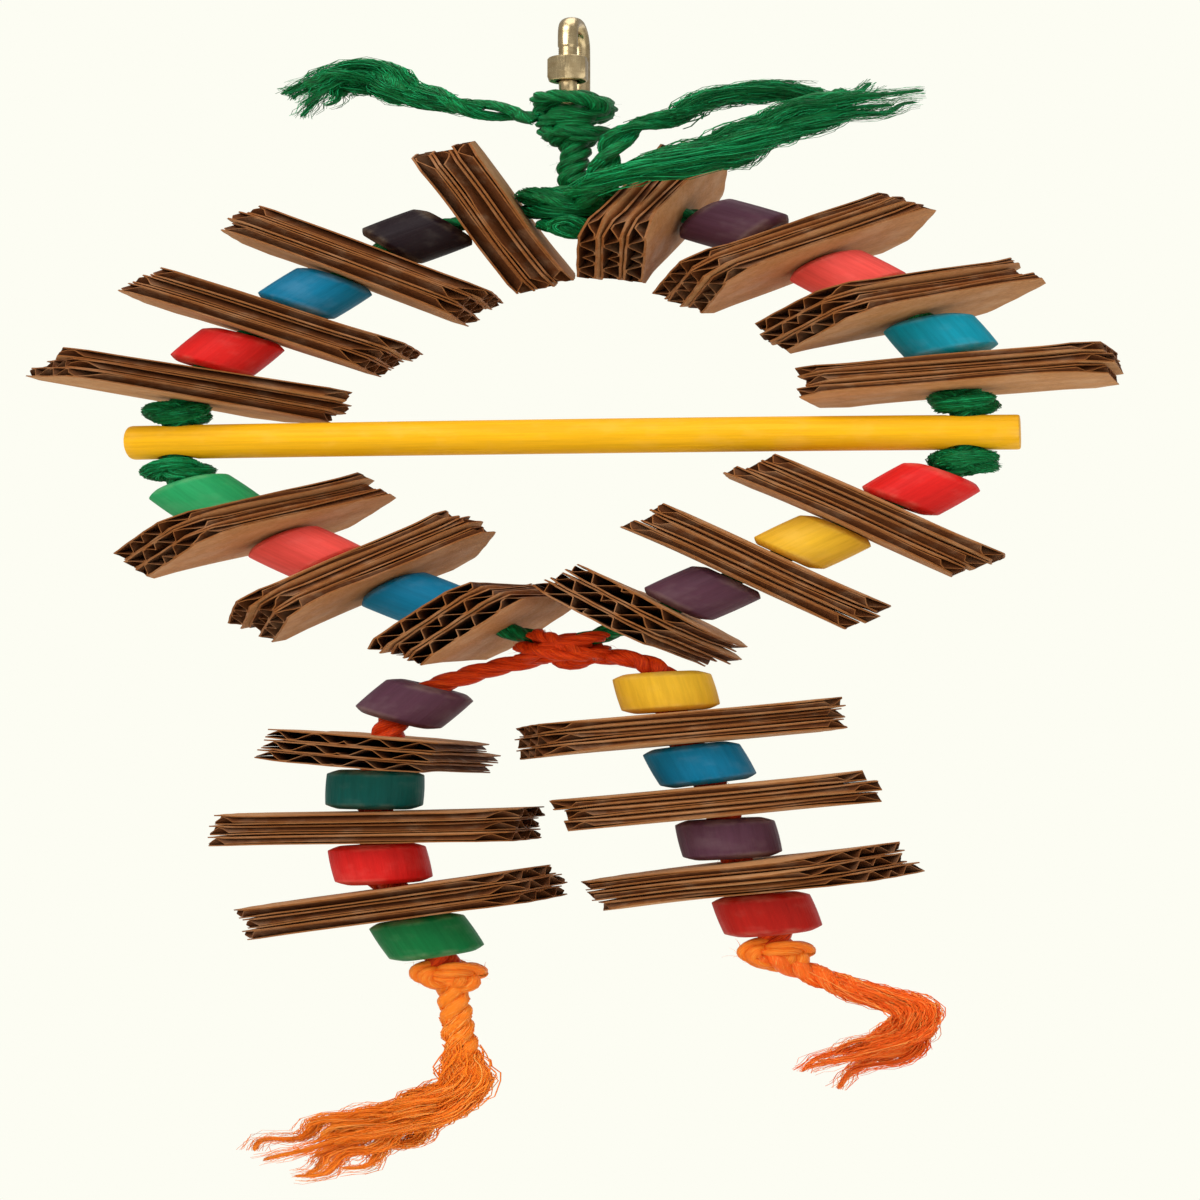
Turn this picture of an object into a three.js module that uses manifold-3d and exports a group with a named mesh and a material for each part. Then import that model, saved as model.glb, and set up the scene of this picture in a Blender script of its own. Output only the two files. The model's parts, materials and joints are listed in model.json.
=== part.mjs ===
// A hanging shredding toy for birds: dyed wooden beads and stacks of corrugated cardboard on sisal rope.
// A rope ring carries a dowel perch across its middle, and two strands hang from the foot of the ring.
// Millimetres and degrees. +Z is up, +X is to the right of the ring, and the viewer stands on the -Y side.
// The origin is the point inside the top of the link where a hook holds the toy.
import * as THREE from "three";
import { mergeVertices } from "three/addons/utils/BufferGeometryUtils.js";
import Module from "manifold-3d";

// Fits
const CLEARANCE = 0.35; // between pieces that touch on the real toy

// Quick link and its sleeve nut
const WIRE_DIAMETER = 3.5;
const LINK_HEIGHT = 36.5;
const LINK_WIDTH = 18;
const GATE_GAP = 5;
const NUT_LENGTH = 9;
const NUT_ACROSS_CORNERS = 7.6;
const NUT_BELOW_ORIGIN = 19;

// Sisal rope
const ROPE_DIAMETER = 5.5;
const TAIL_DIAMETER = 6;
const FRAY_LENGTH = 13;
const FRAY_DIAMETER = 12;
const FRAY_ROOT = 0.9; // width of the brush where it starts, as a share of the rope end
const FRAY_WIDEST = 0.7; // where the brush is widest, as a share of its length
const HITCH_BITE = 0.25; // how far the hanger loop sinks into its knot, as a share of the rope

// Knots: width along X, depth along Y, height along Z
const HITCH = { width: 13, depth: 12, height: 10 };
const NECK_LENGTH = 13;
const TOP_KNOT = { width: 15.5, depth: 17, height: 21 };
const PERCH_KNOT = { width: 12, depth: 12, height: 8 };
const JOIN_KNOT = { width: 10, depth: 11, height: 13 };
const END_KNOT = { width: 12, depth: 11.5, height: 12.5 };

// Dowel perch
const PERCH_DIAMETER = 12.7;
const PERCH_LENGTH = 152.4;
const HOLE_FROM_END = 8.76; // from an end of the dowel to the middle of its hole
const PERCH_OFFSET = 0.5; // how far the dowel stands to the right of the middle of its two holes

// Dyed wooden beads
const BEAD_DIAMETER = 16.5;
const BEAD_LENGTH = 14;
const BEAD_EDGE_IN = 1.9; // the bevel, measured in from the side
const BEAD_EDGE_DOWN = 1.4; // the bevel, measured down from the end
const BORE_DIAMETER = 7.2;

// Corrugated cardboard
const LAYERS = 3;
const LAYER_THICKNESS = 3.7;
const CARD_LENGTH = 52;
const CARD_WIDTH = 29;
const CARD_CORNER = 4.5;
const LAYER_SHIFT = 0.9; // how far a layer sits off the middle of its stack
const LAYER_TURN = 2.5; // how far a layer is turned from its stack
const LAYER_OVERLAP = 0.05; // the layers of a stack are one solid
const STACK_PHASE = 2.4; // radians by which the scatter of the layers differs from stack to stack
const LAYER_PHASE = 2.1; // and from layer to layer
const SIDE_PHASE = 1.7; // ratio of the scatter across the card to that along it

// Free rope between the pieces of the left strand
const LEFT_STRAND_LEAD = 17;
const LEFT_STRAND_SPACE = 5;
const RIGHT_STRAND_LEAD = 10.6;
const JOIN_LEAD = 12; // from the lowest stack of the ring to the middle of the join knot

// Mesh fineness
const BEAD_SIDES = 12;
const ROPE_SIDES = 8;
const BORE_SIDES = 10;
const ROPE_STEP = 9; // length of rope to one step of its tube
const TAIL_STEP = 7;
const WIRE_STEPS = 40;
const BEND_POINTS = 6;
const LOOP_STEPS = 16;
const DOWEL_SIDES = 20;
const LUMP_SIDES = 10;
const LUMP_RINGS = 8;
const BALL_RINGS = 6;
const DOME_STEPS = 4;
const LEAD_SHARES = [0, 0.25, 0.5, 0.75]; // points of a strand's free rope that its tube runs through

// Roughness of the materials
const ROUGHNESS = { steel: 0.35, nut: 0.4, rope: 0.85, fray: 0.9, perch: 0.5, bead: 0.6, card: 0.9 };

// Where each strand leaves the join knot
const LEAVING = { leftStrand: [-0.86, 0, -0.51], rightStrand: [0.95, 0, -0.31] };

// Colours
const COLOURS = {
  steel: "#b3a27e",
  nut: "#a08a5c",
  greenRope: "#0f6b35",
  orangeRope: "#dd4a12",
  orangeTail: "#f5791f",
  perch: "#eeb20e",
  card: "#a9794c",
  plum: "#4a3038",
  mauve: "#7d5f78",
  blue: "#1a7fa6",
  turquoise: "#1f9bb5",
  teal: "#12706a",
  red: "#d4242a",
  coral: "#e6504f",
  crimson: "#a81d1c",
  green: "#2aa468",
  bottle: "#0c7a45",
  yellow: "#ecba30",
};

// The rope's routes as [x, z] points, each from its own start, in the order in which the pieces are strung
const ROUTES = {
  upperLeft: [
    [0, 0], [-13.6, -2.6], [-26.4, -8.6], [-35.4, -18.2], [-44, -29],
    [-51.8, -39.6], [-59.2, -50.2], [-65, -62], [-67.6, -73], [-67.7, -83.8],
  ],
  upperRight: [
    [0, 0], [13.6, -2.2], [26.4, -8.2], [35.4, -17.4], [44.2, -27.4],
    [52.2, -38], [58.4, -49.6], [61.3, -62.4], [61.8, -73], [61.3, -83.8],
  ],
  lowerLeft: [
    [0, 0], [0.4, -10.5], [4.2, -19.6], [13, -30.4], [22.2, -40.6],
    [32.6, -50], [42.4, -58.6], [52, -66], [65.4, -76],
  ],
  lowerRight: [
    [0, 0], [-0.6, -10.5], [-7, -20], [-16.2, -30], [-25.3, -39.6],
    [-34.6, -49.2], [-42.8, -57.4], [-50.7, -65], [-63.5, -76],
  ],
  leftStrand: [
    [0, 0], [-6.4, -3.1], [-13.2, -8], [-19.2, -16.2], [-22.8, -26], [-25, -36.4], [-25.8, -50.2],
    [-25.2, -64], [-24.4, -78], [-20.7, -91], [-16, -104.4], [-12.2, -117.4],
  ],
  rightStrand: [
    [0, 0], [4.4, -1.1], [7.6, -4.8], [9, -10], [10, -16.4], [12.4, -29], [15.8, -42], [18.8, -55.4],
    [20.4, -69.2], [23.8, -82.2], [26.6, -95], [27.8, -107],
  ],
};

// The free rope ends as [x, y, z] points, each from the middle of the knot that it leaves
const TAILS = {
  hangerLoop: [
    [-9, 0, -1.6], [-13, -0.5, -0.4], [-18, -1, 1.4], [-24, -1.5, 4.6], [-30.5, -1.5, 9.6],
    [-36.5, -1.5, 14], [-41.5, -1.5, 13.6], [-44, -2, 9.4],
  ],
  ringUpper: [
    [4.5, -5, 9], [6.6, -6, 16], [8, -6, 23], [11.5, -5.5, 29], [17.5, -4, 32.5], [22.5, -2, 39],
    [28.5, 0, 43], [36, 1.5, 44.5], [42, 3, 42.5],
  ],
  ringLower: [
    [2, -9.5, -1], [3.5, -15, 0.5], [7.5, -21, 3], [14, -24.5, 6], [21.5, -25, 10.5], [29.5, -22.5, 17],
    [36, -19, 25], [42.5, -16, 32], [49, -14, 36.5],
  ],
  leftStrandEnd: [
    [0.6, 0, -7], [1.1, 0, -14], [1.6, 0, -21], [2.6, -0.5, -28], [3.6, -1, -35], [0.5, -1.8, -41.5],
    [-6, -2.5, -46.5], [-13, -3, -51], [-19.5, -3.5, -57],
  ],
  rightStrandEnd: [
    [4, -0.5, -5.5], [8.5, -1, -9], [13, -1.5, -12.5], [18, -2, -15.5], [22.8, -2.5, -19.5],
    [22.5, -3, -25.5], [19.5, -3.5, -31], [15.5, -4, -35],
  ],
};

const stack = (turn, fan = 0) => ({ kind: "stack", turn, fan });
const bead = (colour) => ({ kind: "bead", colour });
const space = (length) => ({ kind: "space", length });

// What is strung on each route, with the turn of each stack about the rope and the fan of its layers
const STRINGS = {
  upperLeft: [
    stack(-24), bead("plum"), stack(-3), bead("blue"), stack(-2), bead("red"), stack(-30, 9),
  ],
  upperRight: [
    stack(-32), bead("mauve"), stack(-26), bead("coral"), stack(-44), bead("turquoise"), stack(6),
  ],
  lowerLeft: [
    bead("green"), stack(-50), bead("coral"), stack(-28), bead("blue"), stack(-82),
  ],
  lowerRight: [
    bead("red"), stack(-4), bead("yellow"), stack(-6), bead("mauve"), stack(-78),
  ],
  leftStrand: [
    bead("mauve"), space(LEFT_STRAND_SPACE), stack(-86), bead("teal"), stack(4), bead("red"), stack(14),
    bead("bottle"),
  ],
  rightStrand: [
    bead("yellow"), stack(-22), bead("blue"), stack(-6), bead("mauve"), stack(28), bead("crimson"),
  ],
};

const wasm = await Module();
wasm.setup();

const ACROSS = new THREE.Vector3(0, 1, 0);
const DOWN = new THREE.Vector3(0, 0, -1);
const STACK_HEIGHT = LAYERS * LAYER_THICKNESS;
const FITTING_PASSES = 8; // rounds of fitting the rope's length to the pieces on it
const lengthOf = { bead: () => BEAD_LENGTH, stack: () => STACK_HEIGHT, space: (piece) => piece.length };

// Solids

function solidOf(geometry) {
  const bare = geometry.clone();
  bare.deleteAttribute("normal");
  bare.deleteAttribute("uv");
  const merged = mergeVertices(bare, 1e-4);
  const mesh = new wasm.Mesh({
    numProp: 3,
    vertProperties: new Float32Array(merged.attributes.position.array),
    triVerts: new Uint32Array(merged.index.array),
  });
  return new wasm.Manifold(mesh);
}

function geometryOf(solid) {
  const mesh = solid.getMesh();
  const geometry = new THREE.BufferGeometry();
  geometry.setAttribute("position", new THREE.BufferAttribute(mesh.vertProperties, mesh.numProp));
  geometry.setIndex(new THREE.BufferAttribute(mesh.triVerts, 1));
  geometry.computeVertexNormals();
  return geometry;
}

function join(geometries) {
  return geometries.map(solidOf).reduce((all, next) => all.add(next));
}

function polygon(radius, sides) {
  const outline = new THREE.Shape();
  for (let i = 0; i < sides; i += 1) {
    const angle = (2 * Math.PI * i) / sides;
    outline[i ? "lineTo" : "moveTo"](radius * Math.cos(angle), radius * Math.sin(angle));
  }
  outline.closePath();
  return outline;
}

function tube(curve, diameter, step) {
  return new THREE.ExtrudeGeometry(polygon(diameter / 2, ROPE_SIDES), {
    steps: Math.max(2, Math.round(curve.getLength() / step)),
    extrudePath: curve,
    curveSegments: 1,
  });
}

function lump(size, centre) {
  const ball = new THREE.SphereGeometry(0.5, LUMP_SIDES, LUMP_RINGS);
  ball.rotateX(Math.PI / 2);
  ball.scale(size.width, size.depth, size.height);
  ball.translate(centre.x, centre.y, centre.z);
  return ball;
}

// How far a knot reaches from its middle before a face square to the direction touches it
function reach(size, direction) {
  const unit = direction.clone().normalize();
  return Math.hypot((size.width / 2) * unit.x, (size.depth / 2) * unit.y, (size.height / 2) * unit.z);
}

function mesh(name, geometry, colour, finish) {
  const metalness = finish === "steel" || finish === "nut" ? 1 : 0;
  const made = new THREE.Mesh(
    geometry,
    new THREE.MeshStandardMaterial({ color: COLOURS[colour], roughness: ROUGHNESS[finish], metalness }),
  );
  made.name = name;
  return made;
}

// Routes

function curveOf(points) {
  return new THREE.CatmullRomCurve3(points, false, "centripetal");
}

// A route at its real length, with its start on the given point
function routeOf(name, start, length) {
  const shape = curveOf(ROUTES[name].map(([x, z]) => new THREE.Vector3(x, 0, z)));
  const scale = length / shape.getLength();
  return curveOf(shape.points.map((point) => point.clone().multiplyScalar(scale).add(start)));
}

// Neighbours whose axes differ touch at the bead's rim, so the rope between them is that much longer
function gapAfter(places, index) {
  const next = places[index + 1];
  if (!next || places[index].piece.kind === "space" || next.piece.kind === "space") return CLEARANCE;
  const rim = BEAD_DIAMETER / 2 - BEAD_EDGE_IN;
  return CLEARANCE + rim * Math.sin(places[index].along.angleTo(next.along));
}

// The pieces of one string on their route: the middle of each and the direction of the rope through it
function strung(name, start, leadOf, trailOf) {
  const pieces = STRINGS[name];
  let gaps = pieces.map(() => CLEARANCE);
  let first = DOWN;
  let last = DOWN;
  let made = null;
  for (let pass = 0; pass < FITTING_PASSES; pass += 1) {
    const lead = leadOf(first);
    const string = pieces.reduce((sum, piece, i) => sum + lengthOf[piece.kind](piece) + gaps[i], 0);
    const length = lead + string + trailOf(last);
    const route = routeOf(name, start, length);
    let from = lead;
    const places = pieces.map((piece, i) => {
      const half = lengthOf[piece.kind](piece) / 2;
      const share = (from + half) / length;
      from += 2 * half + gaps[i];
      return { piece, half, middle: route.getPointAt(share), along: route.getTangentAt(share) };
    });
    gaps = places.map((_, i) => gapAfter(places, i));
    first = places[0].along;
    last = places[places.length - 1].along;
    made = { route, lead, places, start, end: route.getPointAt(1) };
  }
  return made;
}

// The same string turned about its start, in the ring's plane, until its end lies towards the target
function aimedAt(string, target) {
  const chord = string.end.clone().sub(string.start);
  const aim = target.clone().sub(string.start);
  const angle = Math.atan2(chord.z, chord.x) - Math.atan2(aim.z, aim.x);
  const turned = (point) => point.clone().sub(string.start).applyAxisAngle(ACROSS, angle).add(string.start);
  const places = string.places.map((place) => ({
    ...place,
    middle: turned(place.middle),
    along: place.along.clone().applyAxisAngle(ACROSS, angle),
  }));
  return { ...string, places, end: turned(string.end) };
}

// Where two spans of given length meet that start at the ends of a level base
function meeting(leftSpan, rightSpan, base) {
  const across = (leftSpan ** 2 - rightSpan ** 2 + base ** 2) / (2 * base);
  return { across, height: Math.sqrt(leftSpan ** 2 - across ** 2) };
}

// The rope runs straight through each piece and bends between them
function ropePoints(places) {
  return places
    .filter(({ piece }) => piece.kind !== "space")
    .flatMap(({ middle, along, half }) => [
      middle.clone().addScaledVector(along, -half),
      middle.clone().addScaledVector(along, half),
    ]);
}

// Strung pieces

function beadGeometry() {
  const end = BEAD_LENGTH / 2;
  const side = BEAD_DIAMETER / 2;
  const bore = BORE_DIAMETER / 2;
  const profile = [
    [bore, -end], [side - BEAD_EDGE_IN, -end], [side, -end + BEAD_EDGE_DOWN], [side, end - BEAD_EDGE_DOWN],
    [side - BEAD_EDGE_IN, end], [bore, end], [bore, -end],
  ];
  const turned = new THREE.LatheGeometry(profile.map(([x, y]) => new THREE.Vector2(x, y)), BEAD_SIDES);
  turned.rotateX(Math.PI / 2);
  return turned;
}

function cardOutline() {
  const x = CARD_LENGTH / 2;
  const y = CARD_WIDTH / 2;
  const nip = CARD_CORNER;
  const corners = [
    [x - nip, -y], [x, -y + nip], [x, y - nip], [x - nip, y], [-x + nip, y], [-x, y - nip], [-x, -y + nip],
    [-x + nip, -y],
  ];
  return new THREE.Shape(corners.map(([a, b]) => new THREE.Vector2(a, b)));
}

function stackGeometry(fan, order) {
  const layers = [];
  for (let layer = 0; layer < LAYERS; layer += 1) {
    const card = new THREE.ExtrudeGeometry(cardOutline(), {
      depth: LAYER_THICKNESS + (layer < LAYERS - 1 ? LAYER_OVERLAP : 0),
      bevelEnabled: false,
    });
    const phase = STACK_PHASE * order + LAYER_PHASE * layer;
    const turn = LAYER_TURN * Math.sin(phase) + fan * (1 - layer);
    card.rotateZ(THREE.MathUtils.degToRad(turn));
    card.translate(
      LAYER_SHIFT * Math.cos(phase),
      LAYER_SHIFT * Math.sin(SIDE_PHASE * phase),
      layer * LAYER_THICKNESS - STACK_HEIGHT / 2,
    );
    layers.push(card);
  }
  const bore = new THREE.CylinderGeometry(BORE_DIAMETER / 2, BORE_DIAMETER / 2, 2 * STACK_HEIGHT, BORE_SIDES);
  bore.rotateX(Math.PI / 2);
  return geometryOf(join(layers).subtract(solidOf(bore)));
}

function turnOnRope(along, turn) {
  const right = new THREE.Vector3().crossVectors(ACROSS, along).normalize();
  const front = new THREE.Vector3().crossVectors(along, right);
  const basis = new THREE.Matrix4().makeBasis(right, front, along);
  const spin = new THREE.Quaternion().setFromAxisAngle(
    new THREE.Vector3(0, 0, 1),
    THREE.MathUtils.degToRad(turn),
  );
  return new THREE.Quaternion().setFromRotationMatrix(basis).multiply(spin);
}

function stringOf(prefix, places) {
  const group = new THREE.Group();
  const counts = { bead: 0, stack: 0 };
  places.forEach(({ piece, middle, along }, order) => {
    if (piece.kind === "space") return;
    counts[piece.kind] += 1;
    const name = `${prefix}_${piece.kind}_${counts[piece.kind]}`;
    const made =
      piece.kind === "bead"
        ? mesh(name, beadGeometry(), piece.colour, "bead")
        : mesh(name, stackGeometry(piece.fan, order), "card", "card");
    made.position.copy(middle);
    made.quaternion.copy(turnOnRope(along, piece.turn ?? 0));
    group.add(made);
  });
  return group;
}

// Hanger

const LINK_REACH = LINK_WIDTH / 2 - WIRE_DIAMETER / 2; // from the link's middle line to a leg's middle
const LINK_TOP = -LINK_REACH + WIRE_DIAMETER / 2; // height of the middle of the top bend
const LINK_FOOT = WIRE_DIAMETER - LINK_HEIGHT + LINK_WIDTH / 2; // height of the middle of the bottom bend
const WIRE_BOTTOM = LINK_FOOT - LINK_REACH; // height of the wire's middle at the foot of the link

function linkGeometry() {
  const points = [];
  const bend = (z, from) => {
    for (let i = 0; i <= BEND_POINTS; i += 1) {
      const angle = from + (Math.PI * i) / BEND_POINTS;
      points.push(new THREE.Vector3(0, LINK_REACH * Math.cos(angle), z + LINK_REACH * Math.sin(angle)));
    }
  };
  points.push(new THREE.Vector3(0, -LINK_REACH, -NUT_BELOW_ORIGIN - GATE_GAP / 2));
  bend(LINK_FOOT, Math.PI);
  bend(LINK_TOP, 0);
  points.push(new THREE.Vector3(0, -LINK_REACH, -NUT_BELOW_ORIGIN + GATE_GAP / 2));
  return new THREE.ExtrudeGeometry(polygon(WIRE_DIAMETER / 2, ROPE_SIDES), {
    steps: WIRE_STEPS,
    extrudePath: curveOf(points),
    curveSegments: 1,
  });
}

function nutGeometry() {
  const bore = (WIRE_DIAMETER / 2 + CLEARANCE) / Math.cos(Math.PI / 6);
  const half = NUT_LENGTH / 2;
  const side = NUT_ACROSS_CORNERS / 2;
  const profile = [[bore, -half], [side, -half], [side, half], [bore, half], [bore, -half]];
  const turned = new THREE.LatheGeometry(profile.map(([x, y]) => new THREE.Vector2(x, y)), 6);
  turned.rotateX(Math.PI / 2);
  turned.translate(0, -LINK_REACH, -NUT_BELOW_ORIGIN);
  return turned;
}

// The rope loop stands round the wire, and the link's bend needs a little more room than a straight wire
const BEND_ROOM = LINK_REACH - Math.sqrt(LINK_REACH ** 2 - (ROPE_DIAMETER / 2) ** 2);
const LOOP_RADIUS = WIRE_DIAMETER / 2 + BEND_ROOM + CLEARANCE + ROPE_DIAMETER / 2;
const LOOP = {
  width: 2 * LOOP_RADIUS + ROPE_DIAMETER,
  depth: ROPE_DIAMETER,
  height: 2 * LOOP_RADIUS + ROPE_DIAMETER,
};
const loopMiddle = new THREE.Vector3(0, 0, WIRE_BOTTOM);
const hitchTop = WIRE_BOTTOM - LOOP_RADIUS + HITCH_BITE * ROPE_DIAMETER;
const hitchMiddle = new THREE.Vector3(0, 0, hitchTop - HITCH.height / 2);

function hangerGeometry() {
  const loop = new THREE.TorusGeometry(LOOP_RADIUS, ROPE_DIAMETER / 2, ROPE_SIDES, LOOP_STEPS);
  loop.rotateX(Math.PI / 2);
  loop.translate(0, 0, WIRE_BOTTOM);
  return geometryOf(join([loop, lump(HITCH, hitchMiddle)]));
}

const neckTop = hitchMiddle.z - HITCH.height / 2 - CLEARANCE;
const neckBottom = neckTop - NECK_LENGTH;
const topKnotMiddle = new THREE.Vector3(0, 0, neckBottom - CLEARANCE - TOP_KNOT.height / 2);

function neckGeometry() {
  const radius = ROPE_DIAMETER / 2;
  const profile = [[0, neckBottom], [radius, neckBottom]];
  for (let i = 0; i <= DOME_STEPS; i += 1) {
    const angle = (Math.PI / 2 / DOME_STEPS) * i;
    const across = i < DOME_STEPS ? radius * Math.cos(angle) : 0;
    profile.push([across, neckTop - radius + radius * Math.sin(angle)]);
  }
  const turned = new THREE.LatheGeometry(profile.map(([x, y]) => new THREE.Vector2(x, y)), ROPE_SIDES);
  turned.rotateX(Math.PI / 2);
  return turned;
}

// Ring: the upper ropes spread to the two holes of the level perch, and the lower ropes meet at the join

const perchHalf = PERCH_DIAMETER / 2 + CLEARANCE;
const knotDrop = perchHalf + PERCH_KNOT.height / 2; // from the middle of the perch to the middle of a knot
const topLead = (along) => reach(TOP_KNOT, along) + CLEARANCE;
const perchLead = (along) => knotDrop + reach(PERCH_KNOT, along) + CLEARANCE;
const joinTrail = () => JOIN_LEAD;

const looseUpperLeft = strung("upperLeft", topKnotMiddle, topLead, perchLead);
const looseUpperRight = strung("upperRight", topKnotMiddle, topLead, perchLead);
const holeSpan = PERCH_LENGTH - 2 * HOLE_FROM_END;
const spread = meeting(
  looseUpperLeft.end.distanceTo(topKnotMiddle),
  looseUpperRight.end.distanceTo(topKnotMiddle),
  holeSpan,
);
const leftHole = topKnotMiddle.clone().add(new THREE.Vector3(-spread.across, 0, -spread.height));
const rightHole = leftHole.clone().add(new THREE.Vector3(holeSpan, 0, 0));
const upperLeft = aimedAt(looseUpperLeft, leftHole);
const upperRight = aimedAt(looseUpperRight, rightHole);

const looseLowerLeft = strung("lowerLeft", leftHole, perchLead, joinTrail);
const looseLowerRight = strung("lowerRight", rightHole, perchLead, joinTrail);
const fall = meeting(
  looseLowerLeft.end.distanceTo(leftHole),
  looseLowerRight.end.distanceTo(rightHole),
  holeSpan,
);
const joinMiddle = leftHole.clone().add(new THREE.Vector3(fall.across, 0, -fall.height));
const lowerLeft = aimedAt(looseLowerLeft, joinMiddle);
const lowerRight = aimedAt(looseLowerRight, joinMiddle);

function ringRope(name, upper, lower, hole) {
  const rise = new THREE.Vector3(0, 0, knotDrop);
  const points = [
    ...ropePoints(upper.places),
    hole.clone().add(rise),
    hole.clone().sub(rise),
    ...ropePoints(lower.places),
  ];
  const arriving = joinMiddle.clone().sub(points[points.length - 1]).normalize();
  points.push(joinMiddle.clone().addScaledVector(arriving, -reach(JOIN_KNOT, arriving) - CLEARANCE));
  const rope = join([
    tube(curveOf(points), ROPE_DIAMETER, ROPE_STEP),
    lump(PERCH_KNOT, hole.clone().add(rise)),
    lump(PERCH_KNOT, hole.clone().sub(rise)),
  ]);
  return mesh(name, geometryOf(rope), "greenRope", "rope");
}

function perchGeometry() {
  const dowel = new THREE.CylinderGeometry(PERCH_DIAMETER / 2, PERCH_DIAMETER / 2, PERCH_LENGTH, DOWEL_SIDES);
  dowel.rotateZ(Math.PI / 2);
  dowel.translate((leftHole.x + rightHole.x) / 2 + PERCH_OFFSET, 0, leftHole.z);
  const holes = [leftHole, rightHole].map((hole) => {
    const drill = new THREE.CylinderGeometry(
      BORE_DIAMETER / 2, BORE_DIAMETER / 2, 2 * PERCH_DIAMETER, BORE_SIDES,
    );
    drill.rotateX(Math.PI / 2);
    drill.translate(hole.x, hole.y, hole.z);
    return solidOf(drill);
  });
  return geometryOf(holes.reduce((rest, hole) => rest.subtract(hole), solidOf(dowel)));
}

// Strands: each starts in a ball of rope beside the join knot, so that it can swing there

function strandOf(name, lead) {
  const ballRadius = ROPE_DIAMETER / 2;
  const leaving = new THREE.Vector3(...LEAVING[name]).normalize();
  const away = reach(JOIN_KNOT, leaving) + CLEARANCE + ballRadius;
  const start = joinMiddle.clone().addScaledVector(leaving, away);
  const string = strung(name, start, () => lead, (along) => reach(END_KNOT, along) + CLEARANCE);
  const ball = new THREE.SphereGeometry(ballRadius, ROPE_SIDES, BALL_RINGS);
  ball.translate(start.x, start.y, start.z);
  const leadShare = lead / string.route.getLength();
  const leadPoints = LEAD_SHARES.map((share) => string.route.getPointAt(share * leadShare));
  const rope = join([
    tube(curveOf([...leadPoints, ...ropePoints(string.places), string.end]), ROPE_DIAMETER, ROPE_STEP),
    ball,
    lump(END_KNOT, string.end),
  ]);
  return { ...string, rope: geometryOf(rope) };
}

const leftStrand = strandOf("leftStrand", LEFT_STRAND_LEAD);
const rightStrand = strandOf("rightStrand", RIGHT_STRAND_LEAD);

// Free rope ends: a tube that leaves the knot and opens into a frayed brush

function tailGeometry(name, knot, middle) {
  const first = new THREE.Vector3(...TAILS[name][0]);
  const away = first.clone().normalize();
  const least = reach(knot, away) + CLEARANCE;
  const points = TAILS[name].map((point) => new THREE.Vector3(...point));
  if (first.length() < least) points[0] = away.clone().multiplyScalar(least);
  const curve = curveOf(points.map((point) => point.add(middle)));
  const end = curve.getPointAt(1);
  const onward = curve.getTangentAt(1);
  const half = TAIL_DIAMETER / 2;
  const profile = [
    [0, -half], [half * FRAY_ROOT, -half], [FRAY_DIAMETER / 2, FRAY_LENGTH * FRAY_WIDEST], [0, FRAY_LENGTH],
  ];
  const brush = new THREE.LatheGeometry(profile.map(([x, y]) => new THREE.Vector2(x, y)), ROPE_SIDES);
  brush.applyQuaternion(new THREE.Quaternion().setFromUnitVectors(ACROSS, onward));
  brush.translate(end.x, end.y, end.z);
  return geometryOf(join([tube(curve, TAIL_DIAMETER, TAIL_STEP), brush]));
}

// The toy

const toy = new THREE.Group();

const hanger = new THREE.Group();
hanger.add(mesh("quick_link", linkGeometry(), "steel", "steel"));
hanger.add(mesh("link_sleeve_nut", nutGeometry(), "nut", "nut"));
hanger.add(mesh("hanger_knot", hangerGeometry(), "greenRope", "rope"));
hanger.add(mesh("hanger_tail", tailGeometry("hangerLoop", LOOP, loopMiddle), "greenRope", "fray"));
hanger.add(mesh("neck_rope", neckGeometry(), "greenRope", "rope"));
toy.add(hanger);

const ring = new THREE.Group();
ring.add(mesh("ring_top_knot", lump(TOP_KNOT, topKnotMiddle), "greenRope", "rope"));
ring.add(mesh("ring_tail_upper", tailGeometry("ringUpper", TOP_KNOT, topKnotMiddle), "greenRope", "fray"));
ring.add(mesh("ring_tail_lower", tailGeometry("ringLower", TOP_KNOT, topKnotMiddle), "greenRope", "fray"));
ring.add(ringRope("ring_rope_left", upperLeft, lowerLeft, leftHole));
ring.add(ringRope("ring_rope_right", upperRight, lowerRight, rightHole));
ring.add(mesh("perch", perchGeometry(), "perch", "perch"));
ring.add(stringOf("upper_left", upperLeft.places));
ring.add(stringOf("upper_right", upperRight.places));
ring.add(stringOf("lower_left", lowerLeft.places));
ring.add(stringOf("lower_right", lowerRight.places));
ring.add(mesh("join_knot", lump(JOIN_KNOT, joinMiddle), "orangeRope", "rope"));
toy.add(ring);

const strands = new THREE.Group();
strands.add(mesh("left_strand_rope", leftStrand.rope, "orangeRope", "rope"));
strands.add(stringOf("left_strand", leftStrand.places));
const leftEnd = tailGeometry("leftStrandEnd", END_KNOT, leftStrand.end);
strands.add(mesh("left_strand_tail", leftEnd, "orangeTail", "fray"));
strands.add(mesh("right_strand_rope", rightStrand.rope, "orangeRope", "rope"));
strands.add(stringOf("right_strand", rightStrand.places));
const rightEnd = tailGeometry("rightStrandEnd", END_KNOT, rightStrand.end);
strands.add(mesh("right_strand_tail", rightEnd, "orangeTail", "fray"));
toy.add(strands);

export default toy;
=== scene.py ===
import json
import math

import bpy
import numpy as np
from bpy.props import FloatProperty, FloatVectorProperty, PointerProperty
from mathutils import Matrix, Vector


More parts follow.
